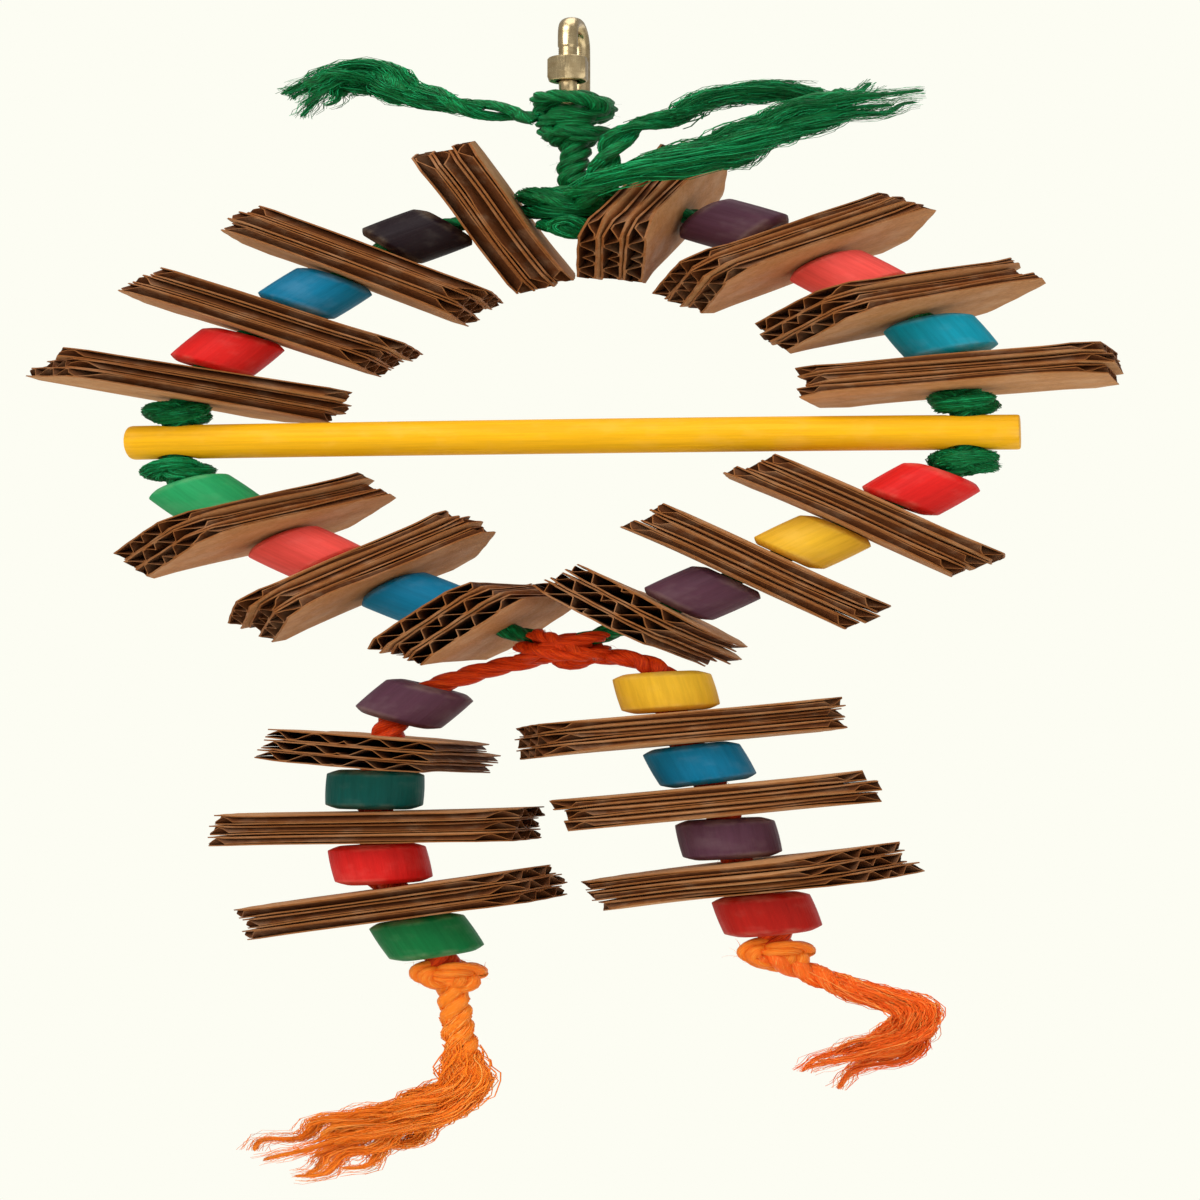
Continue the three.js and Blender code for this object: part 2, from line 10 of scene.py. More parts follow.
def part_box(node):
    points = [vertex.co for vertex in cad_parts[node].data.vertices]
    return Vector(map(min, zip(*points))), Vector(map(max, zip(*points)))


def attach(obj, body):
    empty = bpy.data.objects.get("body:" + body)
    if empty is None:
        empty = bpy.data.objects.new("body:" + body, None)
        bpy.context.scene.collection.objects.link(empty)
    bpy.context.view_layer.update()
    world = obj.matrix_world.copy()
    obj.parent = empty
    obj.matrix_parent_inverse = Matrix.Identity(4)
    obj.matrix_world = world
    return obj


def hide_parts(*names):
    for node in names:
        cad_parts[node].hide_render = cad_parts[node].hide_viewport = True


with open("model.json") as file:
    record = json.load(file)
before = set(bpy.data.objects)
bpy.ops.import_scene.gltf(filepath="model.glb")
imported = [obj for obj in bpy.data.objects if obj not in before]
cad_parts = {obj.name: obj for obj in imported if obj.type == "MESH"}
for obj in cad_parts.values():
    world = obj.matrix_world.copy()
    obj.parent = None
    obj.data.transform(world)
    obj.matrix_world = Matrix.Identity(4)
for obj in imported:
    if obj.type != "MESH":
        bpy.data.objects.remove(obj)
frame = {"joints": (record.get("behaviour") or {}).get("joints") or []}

bl_info = {
    "name": "Hanging shredding toy",
    "version": (1, 0, 0),
    "blender": (4, 5, 0),
    "location": "View3D > Sidebar > Toy",
    "description": "A bird's shredding toy of beads, corrugated cardboard and sisal rope on its CAD frame",
    "category": "Object",
}

MM = 0.001
FULL_TURN = 2 * math.pi
JOINTS = {joint["name"]: joint for joint in frame["joints"]}
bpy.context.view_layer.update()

# Starts of the random draws of each group of pieces
SEEDS = {"ropes": 11, "tails": 23, "perch": 5, "beads": 7, "cards": 3}

# Dye of each bead, in the order in which the beads are strung
BEAD_DYES = {
    "upper_left": ["plum", "blue", "red"],
    "upper_right": ["mauve", "coral", "turquoise"],
    "lower_left": ["green", "coral", "blue"],
    "lower_right": ["red", "yellow", "mauve"],
    "left_strand": ["mauve", "teal", "red", "bottle"],
    "right_strand": ["yellow", "blue", "mauve", "crimson"],
}

# Turn of each cardboard stack about its rope, in degrees, as in the CAD
STACK_TURNS = {
    "upper_left": [-24, -3, -2, -30],
    "upper_right": [-32, -26, -44, 6],
    "lower_left": [-50, -28, -82],
    "lower_right": [-4, -6, -78],
    "left_strand": [-86, 4, 14],
    "right_strand": [-22, -6, 28],
}
# Degrees by which the layers of a stack are fanned out, where they are
STACK_FAN = {"upper_left_stack_4": 9}
# How far the flutes of the stacks stand open at the cut edges, from 0, pressed shut, to 1
OPEN_EDGES = {
    "upper_left": 0.95, "upper_right": 0.05, "lower_left": 0.1, "lower_right": 0.4, "left_strand": 0.6,
    "right_strand": 0.15,
}
# Place of the first stack on each string, on which the scatter of its layers depends, as in the CAD
FIRST_STACK_PLACE = {"upper": 0, "lower": 1, "left": 2, "right": 1}

# Corrugated board: the strip along a cut edge where its liners close up, how far the liners swell in the
# middle and show the flutes as ribs, the thickness of the fluted paper, and how far its edge stays back
CARD_RIM = 4.5 * MM
CARD_SWELL = 0.12 * MM
CARD_RIBS = 0.05 * MM
FLUTED_PAPER = 0.26 * MM
FLUTES_BACK = 0.2 * MM
BOARD_HALF = 0.465  # from the middle of a layer to the outside of a liner, as a share of the layer

# Middles of the knots and of the drilled holes, in millimetres, as in the CAD
LOOP_MIDDLE = (0, 0, -31.25)
HITCH_MIDDLE = (0, 0, -40.27)
TOP_KNOT = (0, 0, -69.47)
JOIN = (-1.59, 0, -233.14)
LEFT_HOLE = (-68.87, 0, -154.71)
RIGHT_HOLE = (66.01, 0, -154.71)
LEFT_END = (-20.57, 0, -349.47)
RIGHT_END = (33.63, 0, -341.06)
PERCH_KNOT_DROP = 10.7  # from a hole's middle to the knots above and below it

# Free rope between the join knot and the first bead of each strand, in millimetres
LEFT_LEAD = [
    (-4.5, 0, -235), (-8.93, 0, -237.49), (-12.79, 0, -239.27), (-16.5, 0, -241.34), (-19.99, 0, -243.76),
]
RIGHT_LEAD = [
    (2.5, 0, -234.6), (6.26, 0, -235.71), (8.87, 0, -236.17), (11.25, 0, -237.26), (13.01, 0, -239.23),
]

# Rope that crosses the front of the hanger knot, in millimetres
HANGER_WRAPS = [
    [(-4.6, 3, -29), (-5, -3, -28.8), (-3.8, -7.2, -29), (0, -9.3, -29.8), (3.8, -7.4, -31.2), (5, -3, -33),
     (4.2, 3, -34.4)],
    [(5, 3, -30.5), (5, -2.4, -32.6), (3, -4.4, -34.6), (-1, -4.8, -35.8), (-4, -3.2, -36.8),
     (-4.4, 0, -37.6)],
    [(-4, 2.5, -38.8), (-4.2, -1.4, -40), (-2, -3.6, -41.2), (2.2, -3.6, -41.4), (4.2, -1, -40.6),
     (4, 2.5, -39.2)],
]
NECK = [(0, 0, -43.5), (0.3, 0, -49), (-0.2, 0, -54), (0, 0, -60.5)]

# Combed bundles over the top knot: half the thickness of each, and its points from the middle of the knot,
# in millimetres
TOP_KNOT_BUNDLES = [
    (2.9, [(-3, 5, 5), (-6.4, 1, 4.6), (-6.2, -5.5, 3.8), (-1.5, -9, 1.8), (3.5, -10, 0.2), (6, -9, 0.6)]),
    (2.6, [(-2, 6, 0), (-5, 2, -1), (-4.9, -5, -2), (-1, -8.6, -3.5), (3.4, -8, -3), (4.8, -4.5, -1)]),
    (2.6, [(4, 5, 6), (6.2, 0.5, 5.4), (5.6, -5.5, 4.6), (1.5, -8, 3.4), (-3, -7.4, 0.5),
           (-4.6, -3, -2.5)]),
    (2.3, [(-3.2, 4, -4), (-3.6, -2, -6), (-3, -6, -8), (0.5, -8, -9.4), (2.6, -6, -7), (3, -1, -5)]),
    (2.0, [(3, 2, -8), (3.2, -5, -9), (2.6, -9, -9), (0.6, -10, -7.6), (-1.4, -9.6, -9.4),
           (0.6, -9.4, -11.8), (2.8, -7.6, -11.6), (2.4, -2, -11)]),
]

# Rope that crosses the front of the join knot, in millimetres from the middle of the knot
JOIN_WRAPS = [
    [(-6.5, -2, -3.5), (-4, -6, -1.4), (1, -7.2, 2), (5, -5, 4), (6.5, -1, 5)],
    [(-4.5, -3, 6), (-1, -6.8, 3.4), (3, -6.6, -0.8), (6.5, -2, -2.4)],
    [(-6, 2, 0.5), (-6.2, -3, 1), (-2.5, -7, -1), (2.5, -7.4, -2.6), (6, -3.5, -1.4), (6, 2, 0.5)],
]

# Free rope ends: the middle of the knot that each leaves, its body, and its route in millimetres from that
# middle, which starts inside the knot and then runs as in the CAD
TAILS = {
    "hanger_tail": (LOOP_MIDDLE, "hanger", [
        (-5.6, -2.2, -4),
        (-9, 0, -1.6), (-13, -0.5, -0.4), (-18, -1, 1.4), (-24, -1.5, 4.6), (-30.5, -1.5, 9.6),
        (-36.5, -1.5, 14), (-41.5, -1.5, 13.6), (-44, -2, 9.4),
    ]),
    "ring_tail_upper": (TOP_KNOT, "ring", [
        (1.5, -3.5, 3),
        (4.5, -5, 9), (6.6, -6, 16), (8, -6, 23), (11.5, -5.5, 29), (17.5, -4, 32.5), (22.5, -2, 39),
        (28.5, 0, 43), (36, 1.5, 44.5), (42, 3, 42.5),
    ]),
    "ring_tail_lower": (TOP_KNOT, "ring", [
        (-6.5, -5.5, 2.5), (-3, -8.8, 0.5),
        (2, -9.5, -1), (3.5, -15, 0.5), (7.5, -21, 3), (14, -24.5, 6), (21.5, -25, 10.5), (29.5, -22.5, 17),
        (36, -19, 25), (42.5, -16, 32), (49, -14, 36.5),
    ]),
    "left_strand_tail": (LEFT_END, "left_strand", [
        (0.2, -0.5, -2.5),
        (0.6, 0, -7), (1.1, 0, -14), (1.6, 0, -21), (2.6, -0.5, -28), (3.6, -1, -35), (0.5, -1.8, -41.5),
        (-6, -2.5, -46.5), (-13, -3, -51), (-19.5, -3.5, -57),
    ]),
    "right_strand_tail": (RIGHT_END, "right_strand", [
        (-2.5, -3.5, 0.5),
        (4, -0.5, -5.5), (8.5, -1, -9), (13, -1.5, -12.5), (18, -2, -15.5), (22.8, -2.5, -19.5),
        (22.5, -3, -25.5), (19.5, -3.5, -31), (15.5, -4, -35),
    ]),
}

# How each free end frays: plies, their loosening and size, locks of fibre, the share of its length from
# which the locks part, how far they drift apart, sag and curl and how thick a lock is, in millimetres, and
# the fibres in a lock
FRAY_WORDS = ("plies", "loose", "size", "locks", "from", "wide", "sag", "curl", "thick", "count")
FRAYS = {
    "hanger_tail": (2, 1.0, 0.95, 9, 0.45, 7.5, 1, 1.8, 1.4, 70),
    "ring_tail_upper": (2, 0.3, 0.85, 6, 0.65, 4, -1, 0.8, 1.5, 60),
    "ring_tail_lower": (2, 0.5, 0.9, 13, 0.4, 6.5, 7, 1.6, 1.7, 80),
    "left_strand_tail": (3, 0.05, 0.9, 13, 0.52, 11, 4, 2.2, 1.7, 90),
    "right_strand_tail": (3, 0.4, 0.95, 9, 0.35, 7, 0, 1.8, 1.5, 80),
}
BRUSH_PAST_END = 12  # how far the longest lock runs on past the rope, in millimetres
LOCK_START = 1.1 * MM  # from the middle of the rope to the middle of a lock where it leaves the rope

# Twisted rope: how far out the plies lie and how thick they are by their number, as shares of its diameter,
# the sides of a ply, and the turn of the yarn in radians in a metre
PLY_OFFSET = 0.25
PLY_RADIUS = {2: 0.29, 3: 0.27}
PLY_SIDES = 9
YARN_TURN = 260

# Combed fibre: single fibres on a ply, a bundle and a whole knot, and their turn in radians in a metre
PLY_FIBRES, BUNDLE_FIBRES, KNOT_FIBRES = 150, 170, 420
PLY_TURN, BUNDLE_TURN, LOCK_TURN = 120.0, 150.0, 40.0
FIBRE_RADIUS, HAIR_RADIUS = 0.15 * MM, 0.05 * MM
FIBRE_SIDES = 3
FUZZ_LENGTH = 3 * MM

# Rings at the ends of a tube, as a share of its radius
TUBE_END = 0.35

# A knot: how often its line crosses and winds round a ring, how far it swings out and up from the ring, and
# the core inside, as a share of the knot
KNOT_CROSSINGS, KNOT_WINDINGS = 3, 2
KNOT_SWELL, KNOT_RISE = 0.46, 0.9
KNOT_CORE = 0.72


def linear(code):
    """An sRGB colour code as linear red, green and blue."""
    values = [int(code[i:i + 2], 16) / 255 for i in (1, 3, 5)]
    return tuple(v / 12.92 if v <= 0.04045 else ((v + 0.055) / 1.055) ** 2.4 for v in values)


def colour(name, code):
    """A colour that a user can change."""
    return FloatVectorProperty(
        name=name, description=f"{name}, linear", subtype="COLOR", size=3, min=0, max=1,
        default=linear(code),
    )


def length(name, text, millimetres):
    """A length that a user can change."""
    return FloatProperty(
        name=name, description=text, subtype="DISTANCE", unit="LENGTH", default=millimetres * MM
    )


class ToySizes(bpy.types.PropertyGroup):
    """Sizes of the toy's pieces"""

    rope: length("Rope", "Diameter of the sisal rope", 5.5)
    tail: length("Rope end", "Diameter of a loosened rope end", 6)
    bead: length("Bead", "Diameter of a bead", 16.5)
    bead_height: length("Bead height", "Length of a bead along its bore", 14)
    bore: length("Bore", "Diameter of the bore of beads and perch", 7.2)
    card_long: length("Card length", "Long side of a cardboard piece", 52)
    card_wide: length("Card width", "Short side of a cardboard piece", 29)
    card_corner: length("Card corner", "How far the corners of a cardboard piece are nipped off", 4.5)
    layer: length("Layer", "Thickness of one cardboard piece", 3.7)
    liner: length("Liner", "Thickness of the flat paper of the board", 0.42)
    flute: length("Flute pitch", "Distance between the flutes of the board", 7.25)
    perch: length("Perch", "Diameter of the dowel", 12.7)
    perch_long: length("Perch length", "Length of the dowel", 152.4)
    wire: length("Wire", "Diameter of the link's wire", 3.5)
    link_reach: length("Link reach", "From the link's middle line to the middle of a leg", 7.25)


class ToyColours(bpy.types.PropertyGroup):
    """Colours of the toy and its backdrop"""

    plum: colour("Plum dye", "#1c0f15")
    mauve: colour("Mauve dye", "#573444")
    blue: colour("Blue dye", "#04739a")
    turquoise: colour("Turquoise dye", "#0a98b2")
    teal: colour("Teal dye", "#0a5c56")
    red: colour("Red dye", "#d81f1c")
    coral: colour("Coral dye", "#ea524a")
    crimson: colour("Crimson dye", "#a8170e")
    green: colour("Green dye", "#259a5c")
    bottle: colour("Bottle green dye", "#0a6a36")
    yellow: colour("Yellow dye", "#eab62c")
    perch: colour("Perch dye", "#f2b312")
    kraft: colour("Kraft paper", "#bf8a5a")
    # The cut edge is darker than the kraft it is cut from, partly painted shade
    cut: colour("Cut edge, partly painted shade", "#8c5529")
    # The fluted paper is darkened far past its own colour, partly painted shade inside the board
    fluted_paper_and_shade: colour("Fluted paper, partly painted shade", "#633618")
    # Deep sisal colours: partly darker fibre, partly painted shade; palest ones: partly painted highlight
    green_rope: colour("Green sisal", "#047a3a")
    green_deep_and_shade: colour("Green sisal in its hollows, partly painted shade", "#02280f")
    green_pale_and_highlight: colour("Palest green fibres, partly painted highlight", "#1fbd74")
    orange_rope: colour("Orange sisal", "#ee4306")
    orange_deep_and_shade: colour("Orange sisal in its hollows, partly painted shade", "#b52802")
    orange_pale_and_highlight: colour("Palest orange fibres, partly painted highlight", "#ff6a1c")
    end_rope: colour("Orange rope end", "#ff861e")
    end_deep_and_shade: colour("Orange rope end in its hollows, partly painted shade", "#f66d18")
    end_pale_and_highlight: colour("Palest fibres of the orange end, partly painted highlight", "#ffb65c")
    steel: colour("Steel", "#ccb68c")
    backdrop: colour("Backdrop", "#fdfdf3")


# Lines and surfaces

def unit(vectors):
    """The given vectors at length one."""
    return vectors / np.maximum(np.linalg.norm(vectors, axis=-1, keepdims=True), 1e-12)


def between(t, low, high, start, end):
    """Points on the way from a start, at a low value of t, to an end, at a high one."""
    return (high - t) / (high - low) * start + (t - low) / (high - low) * end


def smooth_line(points, step):
    """Points at an even step on a centripetal curve through the given points."""
    given = np.asarray(points, float)
    ends = np.vstack([2 * given[0] - given[1], given, 2 * given[-1] - given[-2]])
    fine = []
    for a, b, c, d in zip(ends, ends[1:], ends[2:], ends[3:]):
        gaps = np.linalg.norm(np.diff([a, b, c, d], axis=0), axis=1)
        t0, t1, t2, t3 = np.concatenate([[0], np.cumsum(np.sqrt(gaps))])
        t = np.linspace(t1, t2, 24, endpoint=False)[:, None]
        ab = between(t, t0, t1, a, b)
        bc = between(t, t1, t2, b, c)
        cd = between(t, t2, t3, c, d)
        abc = between(t, t0, t2, ab, bc)
        bcd = between(t, t1, t3, bc, cd)
        fine.append(between(t, t1, t2, abc, bcd))
    fine = np.vstack([*fine, given[-1:]])
    run = run_of(fine)
    return follower(fine, np.linspace(0, run[-1], max(3, int(round(run[-1] / step)) + 1)))(fine)


def run_of(line):
    """The way along a line from its start to each of its points."""
    return np.concatenate([[0], np.cumsum(np.linalg.norm(np.diff(line, axis=0), axis=1))])


def frames_of(line):
    """Tangent and two square directions along a line, carried along without twist."""
    tangent = unit(np.gradient(line, axis=0))
    side = np.zeros_like(line)
    helper = np.array([0.0, 1.0, 0.0]) if abs(tangent[0][1]) < 0.9 else np.array([1.0, 0.0, 0.0])
    side[0] = unit(np.cross(tangent[0], helper))
    for i in range(1, len(line)):
        side[i] = unit(side[i - 1] - tangent[i] * np.dot(side[i - 1], tangent[i]))
    return tangent, side, np.cross(tangent, side)


class Surface:
    """Vertices, faces and attributes gathered for one mesh"""

    def __init__(self):
        self.points = []
        self.faces = []
        self.slots = []
        self.values = {}
        self.count = 0

    def add(self, points, faces, slot=0, **values):
        """Adds points with their attribute values, and faces that count from the first of these points."""
        points = np.asarray(points, float).reshape(-1, 3)
        faces = np.asarray(faces, int)
        self.points.append(points)
        self.faces.append(faces + self.count)
        self.slots.append(np.broadcast_to(np.asarray(slot, int), len(faces)))
        for name, value in values.items():
            self.values.setdefault(name, []).append(np.asarray(value, float))
        self.count += len(points)

    def close_ends(self, rings, sides, slot=0):
        """Closes the first and the last ring of the rings that were added last."""
        for first, order in ((self.count - rings * sides, -1), (self.count - sides, 1)):
            self.faces.append(first + np.arange(sides)[None, ::order])
            self.slots.append(np.array([slot]))

    def object(self, name, materials, sharp=None):
        """The gathered mesh as an object, smooth but for edges sharper than an angle in degrees."""
        points = np.vstack(self.points)
        faces = [list(face) for group in self.faces for face in group.tolist()]
        mesh = bpy.data.meshes.new(name)
        mesh.from_pydata(points.tolist(), [], faces)
        mesh.polygons.foreach_set("material_index", np.concatenate(self.slots).astype(np.int32))
        mesh.polygons.foreach_set("use_smooth", np.ones(len(faces), bool))
        for key, groups in self.values.items():
            data = np.concatenate(groups)
            kind, field = ("FLOAT_VECTOR", "vector") if data.ndim == 2 else ("FLOAT", "value")
            attribute = mesh.attributes.new(key, kind, "POINT")
            attribute.data.foreach_set(field, data.astype(np.float32).ravel())
        if sharp is not None:
            mesh.set_sharp_from_angle(angle=math.radians(sharp))
        for material in materials:
            mesh.materials.append(material)
        mesh.update()
        made = bpy.data.objects.new(name, mesh)
        bpy.context.scene.collection.objects.link(made)
        return made


def ring_faces(rings, sides, closed=False):
    """Quads between rings of points, each ring closed on itself."""
    ring = np.arange(rings if closed else rings - 1)[:, None]
    side = np.arange(sides)[None, :]
    a = ring * sides + side
    b = ring * sides + (side + 1) % sides
    c = ((ring + 1) % rings) * sides + (side + 1) % sides
    d = ((ring + 1) % rings) * sides + side
    return np.stack([a, b, c, d], -1).reshape(-1, 4)


def round_angles(count):
    """Even angles round a circle."""
    return np.linspace(0, FULL_TURN, count, endpoint=False)


def tube(surface, line, radius, sides=8, closed=False, slot=0, fibre_turn=0.0, tone=0.5):
    """A round tube with rounded ends; yarn holds the direction round it and the run along it."""
    _, side, up = frames_of(line)
    radius = np.broadcast_to(np.asarray(radius, float), len(line)).copy()
    if not closed:
        radius[0] *= TUBE_END
        radius[-1] *= TUBE_END
    angle = round_angles(sides)
    around = np.cos(angle)[None, :, None] * side[:, None] + np.sin(angle)[None, :, None] * up[:, None]
    points = line[:, None] + around * radius[:, None, None]
    run = run_of(line)
    turn = angle[None, :] - fibre_turn * run[:, None]
    yarn = np.stack([np.cos(turn), np.sin(turn), np.broadcast_to(run[:, None], turn.shape)], -1)
    faces = ring_faces(len(line), sides, closed)
    tones = np.full(len(line) * sides, tone)
    surface.add(points, faces, slot, yarn=yarn.reshape(-1, 3), tone=tones)
    if not closed:
        surface.close_ends(len(line), sides, slot)


def ply_lines(line, diameter, plies, lay, spread=None, closed=False):
    """The middle lines of the plies of a twisted rope."""
    _, side, up = frames_of(line)
    run = run_of(line)
    turns = run / lay
    if closed:
        turns = run / run[-1] * max(1, round(run[-1] / lay * plies)) / plies
    spread = np.ones(len(line)) if spread is None else spread
    lines = []
    for ply in range(plies):
        angle = FULL_TURN * (turns + ply / plies)
        away = np.cos(angle)[:, None] * side + np.sin(angle)[:, None] * up
        lines.append(line + away * (PLY_OFFSET * diameter * spread)[:, None])
    return lines


def rope(surface, line, diameter, rng, plies=3, lay=3.0, closed=False, slot=0, spread=None, bumps=0.06):
    """A twisted rope; returns the middle lines of its plies."""
    lines = ply_lines(line, diameter, plies, lay * diameter, spread, closed)
    for ply in lines:
        run = run_of(ply)
        wave = sum(np.sin(run * rng.uniform(300, 1500) + rng.uniform(0, 6)) for _ in range(3))
        radius = diameter * PLY_RADIUS[plies] * (1 + bumps * wave / 1.7)
        tube(surface, ply, radius, PLY_SIDES, closed, slot, YARN_TURN, rng.uniform(0.35, 0.65))
    return lines


def fibres(surface, lines, radius, rng, slot=0):
    """Thin three-sided tubes on many lines at once, each with a tone of its own."""
    count, steps = lines.shape[:2]
    tangent = unit(np.gradient(lines, axis=1))
    side = unit(np.cross(tangent, rng.normal(size=(count, 1, 3))))
    up = np.cross(tangent, side)
    taper = np.linspace(1, 0.4, steps)[None, :, None, None]
    thick = (radius * rng.uniform(0.7, 1.3, count))[:, None, None, None]
    angle = round_angles(FIBRE_SIDES)[:, None]
    around = side[:, :, None] * np.cos(angle) + up[:, :, None] * np.sin(angle)
    points = lines[:, :, None] + around * taper * thick
    ring_points = steps * FIBRE_SIDES
    faces = np.arange(count)[:, None, None] * ring_points + ring_faces(steps, FIBRE_SIDES)[None]
    tone = np.repeat(rng.uniform(0.12, 1, count), ring_points)
    surface.add(points, faces.reshape(-1, 4), slot, yarn=np.zeros((len(tone), 3)), tone=tone)


def hairs(surface, starts, ways, lengths, rng, slot=0, curl=0.8, steps=7):
    """Short loose fibres that leave the given points and bend away."""
    place = np.array(starts, float)
    way = unit(np.array(ways, float))
    bend = rng.normal(size=place.shape)
    line = [place]
    for _ in range(steps):
        way = unit(way + curl * bend / steps)
        line.append(line[-1] + way * (lengths / steps)[:, None])
    fibres(surface, np.stack(line, 1), HAIR_RADIUS, rng, slot)


def follower(line, places):
    """Carries values given along a line to the given runs on it."""
    run = run_of(line)
    inside = np.clip(places, 0, run[-1])

    def follow(values):
        return np.stack([np.interp(inside, run, column) for column in values.T], -1)

    return follow


def strand(surface, line, thick, rng, count, twist, splay=0.0, crimp=0.12 * MM, slot=0):
    """Combed fibre: a smooth core, and single fibres that lie along it and part towards its end."""
    _, side, up = frames_of(line)
    run = run_of(line)
    share = run / run[-1]
    body = thick * (0.75 + 0.25 * np.sin(math.pi * share)) * (1 - 0.6 * min(splay, 1) * share ** 2)
    tube(surface, line, 0.84 * body, 10, False, slot, twist, rng.uniform(0.35, 0.6))
    first = np.clip(rng.uniform(-0.15, 0.5, count), 0, 1)
    last = np.minimum(first + rng.uniform(0.4, 0.85, count), 1)
    way = first[:, None] + (last - first)[:, None] * np.linspace(0, 1, 16)
    at = way * run[-1]
    follow = follower(line, at)
    angle = rng.uniform(0, FULL_TURN, count)[:, None] + twist * at
    pitch = rng.uniform(3.5 * MM, 7 * MM, count)[:, None]
    wave = crimp * np.sin(at * FULL_TURN / pitch + rng.uniform(0, FULL_TURN, count)[:, None])
    leaves = rng.uniform(size=count) < splay * 0.2
    stray = np.where(leaves, rng.uniform(1.2, 2, count), rng.uniform(0.8, 1.06, count))
    away = follow(body[:, None])[..., 0] * stray[:, None] + wave
    away += splay * thick * 1.5 * way ** 3 * rng.uniform(0, 1, count)[:, None]
    out = follow(side) * np.cos(angle)[..., None] + follow(up) * np.sin(angle)[..., None]
    fibres(surface, follow(line) + out * away[..., None], FIBRE_RADIUS, rng, slot)


def lock_guides(line, rng, look):
    """Middle lines of the wavy locks into which a rope end opens."""
    tangent, side, up = frames_of(line)
    run = run_of(line)
    guides = []
    for i in range(look["locks"]):
        start = run[-1] * look["from"] * rng.uniform(0.55, 1)
        end = run[-1] + BRUSH_PAST_END * MM * rng.uniform(-0.5, 1)
        at = np.linspace(start, end, 48)
        follow = follower(line, at)
        share = (at - start) / (end - start)
        angle = FULL_TURN * (i + rng.uniform(-0.3, 0.3)) / look["locks"]
        angle = angle + rng.uniform(20, 60) * (at - start)
        wave = np.sin((at - start) * FULL_TURN / rng.uniform(11 * MM, 18 * MM) + rng.uniform(0, 6.3))
        away = LOCK_START + look["wide"] * MM * rng.uniform(0.3, 1) * share ** 1.2 * (1.3 - 0.45 * share)
        away += rng.uniform(0.5, 1) * look["curl"] * MM * np.sqrt(share) * wave
        out = follow(side) * np.cos(angle)[:, None] + follow(up) * np.sin(angle)[:, None]
        past = np.maximum(at - run[-1], 0)
        sinking = np.sin(np.minimum(share * 1.5, 1) * math.pi / 2) ** 2
        sag = np.outer(rng.uniform(0.3, 1) * look["sag"] * MM * sinking, (0, 0, -1))
        guides.append(follow(line) + follow(tangent) * past[:, None] + out * away[:, None] + sag)
    return guides


def fuzz(surface, lines, diameter, rng, per_mm, size, lift=0.4, slot=0):
    """Short stray fibres that leave the surface of the given ply lines."""
    for line in lines:
        tangent, side, up = frames_of(line)
        count = max(2, int(run_of(line)[-1] / MM * per_mm))
        index = rng.integers(1, len(line) - 1, count)
        angle = rng.uniform(0, FULL_TURN, count)[:, None]
        out = np.cos(angle) * side[index] + np.sin(angle) * up[index]
        starts = line[index] + out * diameter * 0.24
        along = tangent[index] * rng.choice([-1, 1], count)[:, None]
        ways = along + out * rng.uniform(0.05, lift, count)[:, None]
        hairs(surface, starts, ways, rng.uniform(0.4, 1.2, count) * size, rng, slot)


def knot_line(size, turn, step=0.7 * MM):
    """A closed line that winds round a ring and through it, fitted into a box of the given size."""
    t = np.linspace(0, FULL_TURN, 721)
    swell = 1 + KNOT_SWELL * np.cos(KNOT_CROSSINGS * t)
    x = swell * np.cos(KNOT_WINDINGS * t)
    y = swell * np.sin(KNOT_WINDINGS * t)
    line = np.stack([x, y, KNOT_RISE * np.sin(KNOT_CROSSINGS * t)], -1)
    about_x, about_y, about_z = [Matrix.Rotation(angle, 3, axis) for angle, axis in zip(turn, "XYZ")]
    line = line @ np.array(about_x @ about_y @ about_z).T
    line *= np.array(size) / (line.max(0) - line.min(0))
    run = run_of(line)
    return follower(line, np.linspace(0, run[-1], int(run[-1] / step), endpoint=False))(line)


def knot(surface, middle, size, thick, rng, turn=(0, 0, 0), slot=0, hair=0.0, combed=False):
    """A round knot about a middle: crossing twisted rope, or rope whose twist has combed out."""
    line = knot_line(np.array(size) - thick, turn) + np.array(middle)
    core(surface, middle, np.array(size) * KNOT_CORE, slot)
    if combed:
        lines = [np.vstack([line, line[:8]])]
        strand(surface, lines[0], thick / 2, rng, KNOT_FIBRES, BUNDLE_TURN, slot=slot)
    else:
        lines = rope(surface, line, thick, rng, 3, 3.0, True, slot)
    if hair:
        fuzz(surface, lines, thick, rng, hair, FUZZ_LENGTH, 0.7, slot)
    return lines


def core(surface, middle, size, slot=0):
    """The rope inside a knot, seen only as a dark mass between its strands; its low tone adds painted
    shade.
    """
    rings, sides = 8, 14
    polar = np.linspace(0.05, math.pi - 0.05, rings)[:, None]
    angle = round_angles(sides)[None, :]
    across, z = np.sin(polar), np.cos(polar) + 0 * angle
    shape = np.stack([across * np.cos(angle), across * np.sin(angle), z], -1).reshape(-1, 3)
    points = shape * np.array(size) / 2 + np.array(middle)
    # A tone of 0.3 mixes in a little of the deep colour: painted shade inside the knot
    tone = np.full(rings * sides, 0.3)
    surface.add(points, ring_faces(rings, sides)[:, ::-1], slot, yarn=shape * 0.02, tone=tone)


# Shading

# Kinds of socket, and what every finish gives
COLOUR, VECTOR, VALUE = "NodeSocketColor", "NodeSocketVector", "NodeSocketFloat"
FINISH = {"Color": COLOUR, "Roughness": VALUE, "Height": VALUE}


def finish_group(name, inputs):
    """An empty shared group for one finish: its tree, the outputs of its input node and the reverse."""
    tree = bpy.data.node_groups.new(name, "ShaderNodeTree")
    for label, (kind, value) in inputs.items():
        socket = tree.interface.new_socket(label, in_out="INPUT", socket_type=kind)
        socket.default_value = value
    for label, kind in FINISH.items():
        tree.interface.new_socket(label, in_out="OUTPUT", socket_type=kind)
    return tree, tree.nodes.new("NodeGroupInput").outputs, tree.nodes.new("NodeGroupOutput").inputs


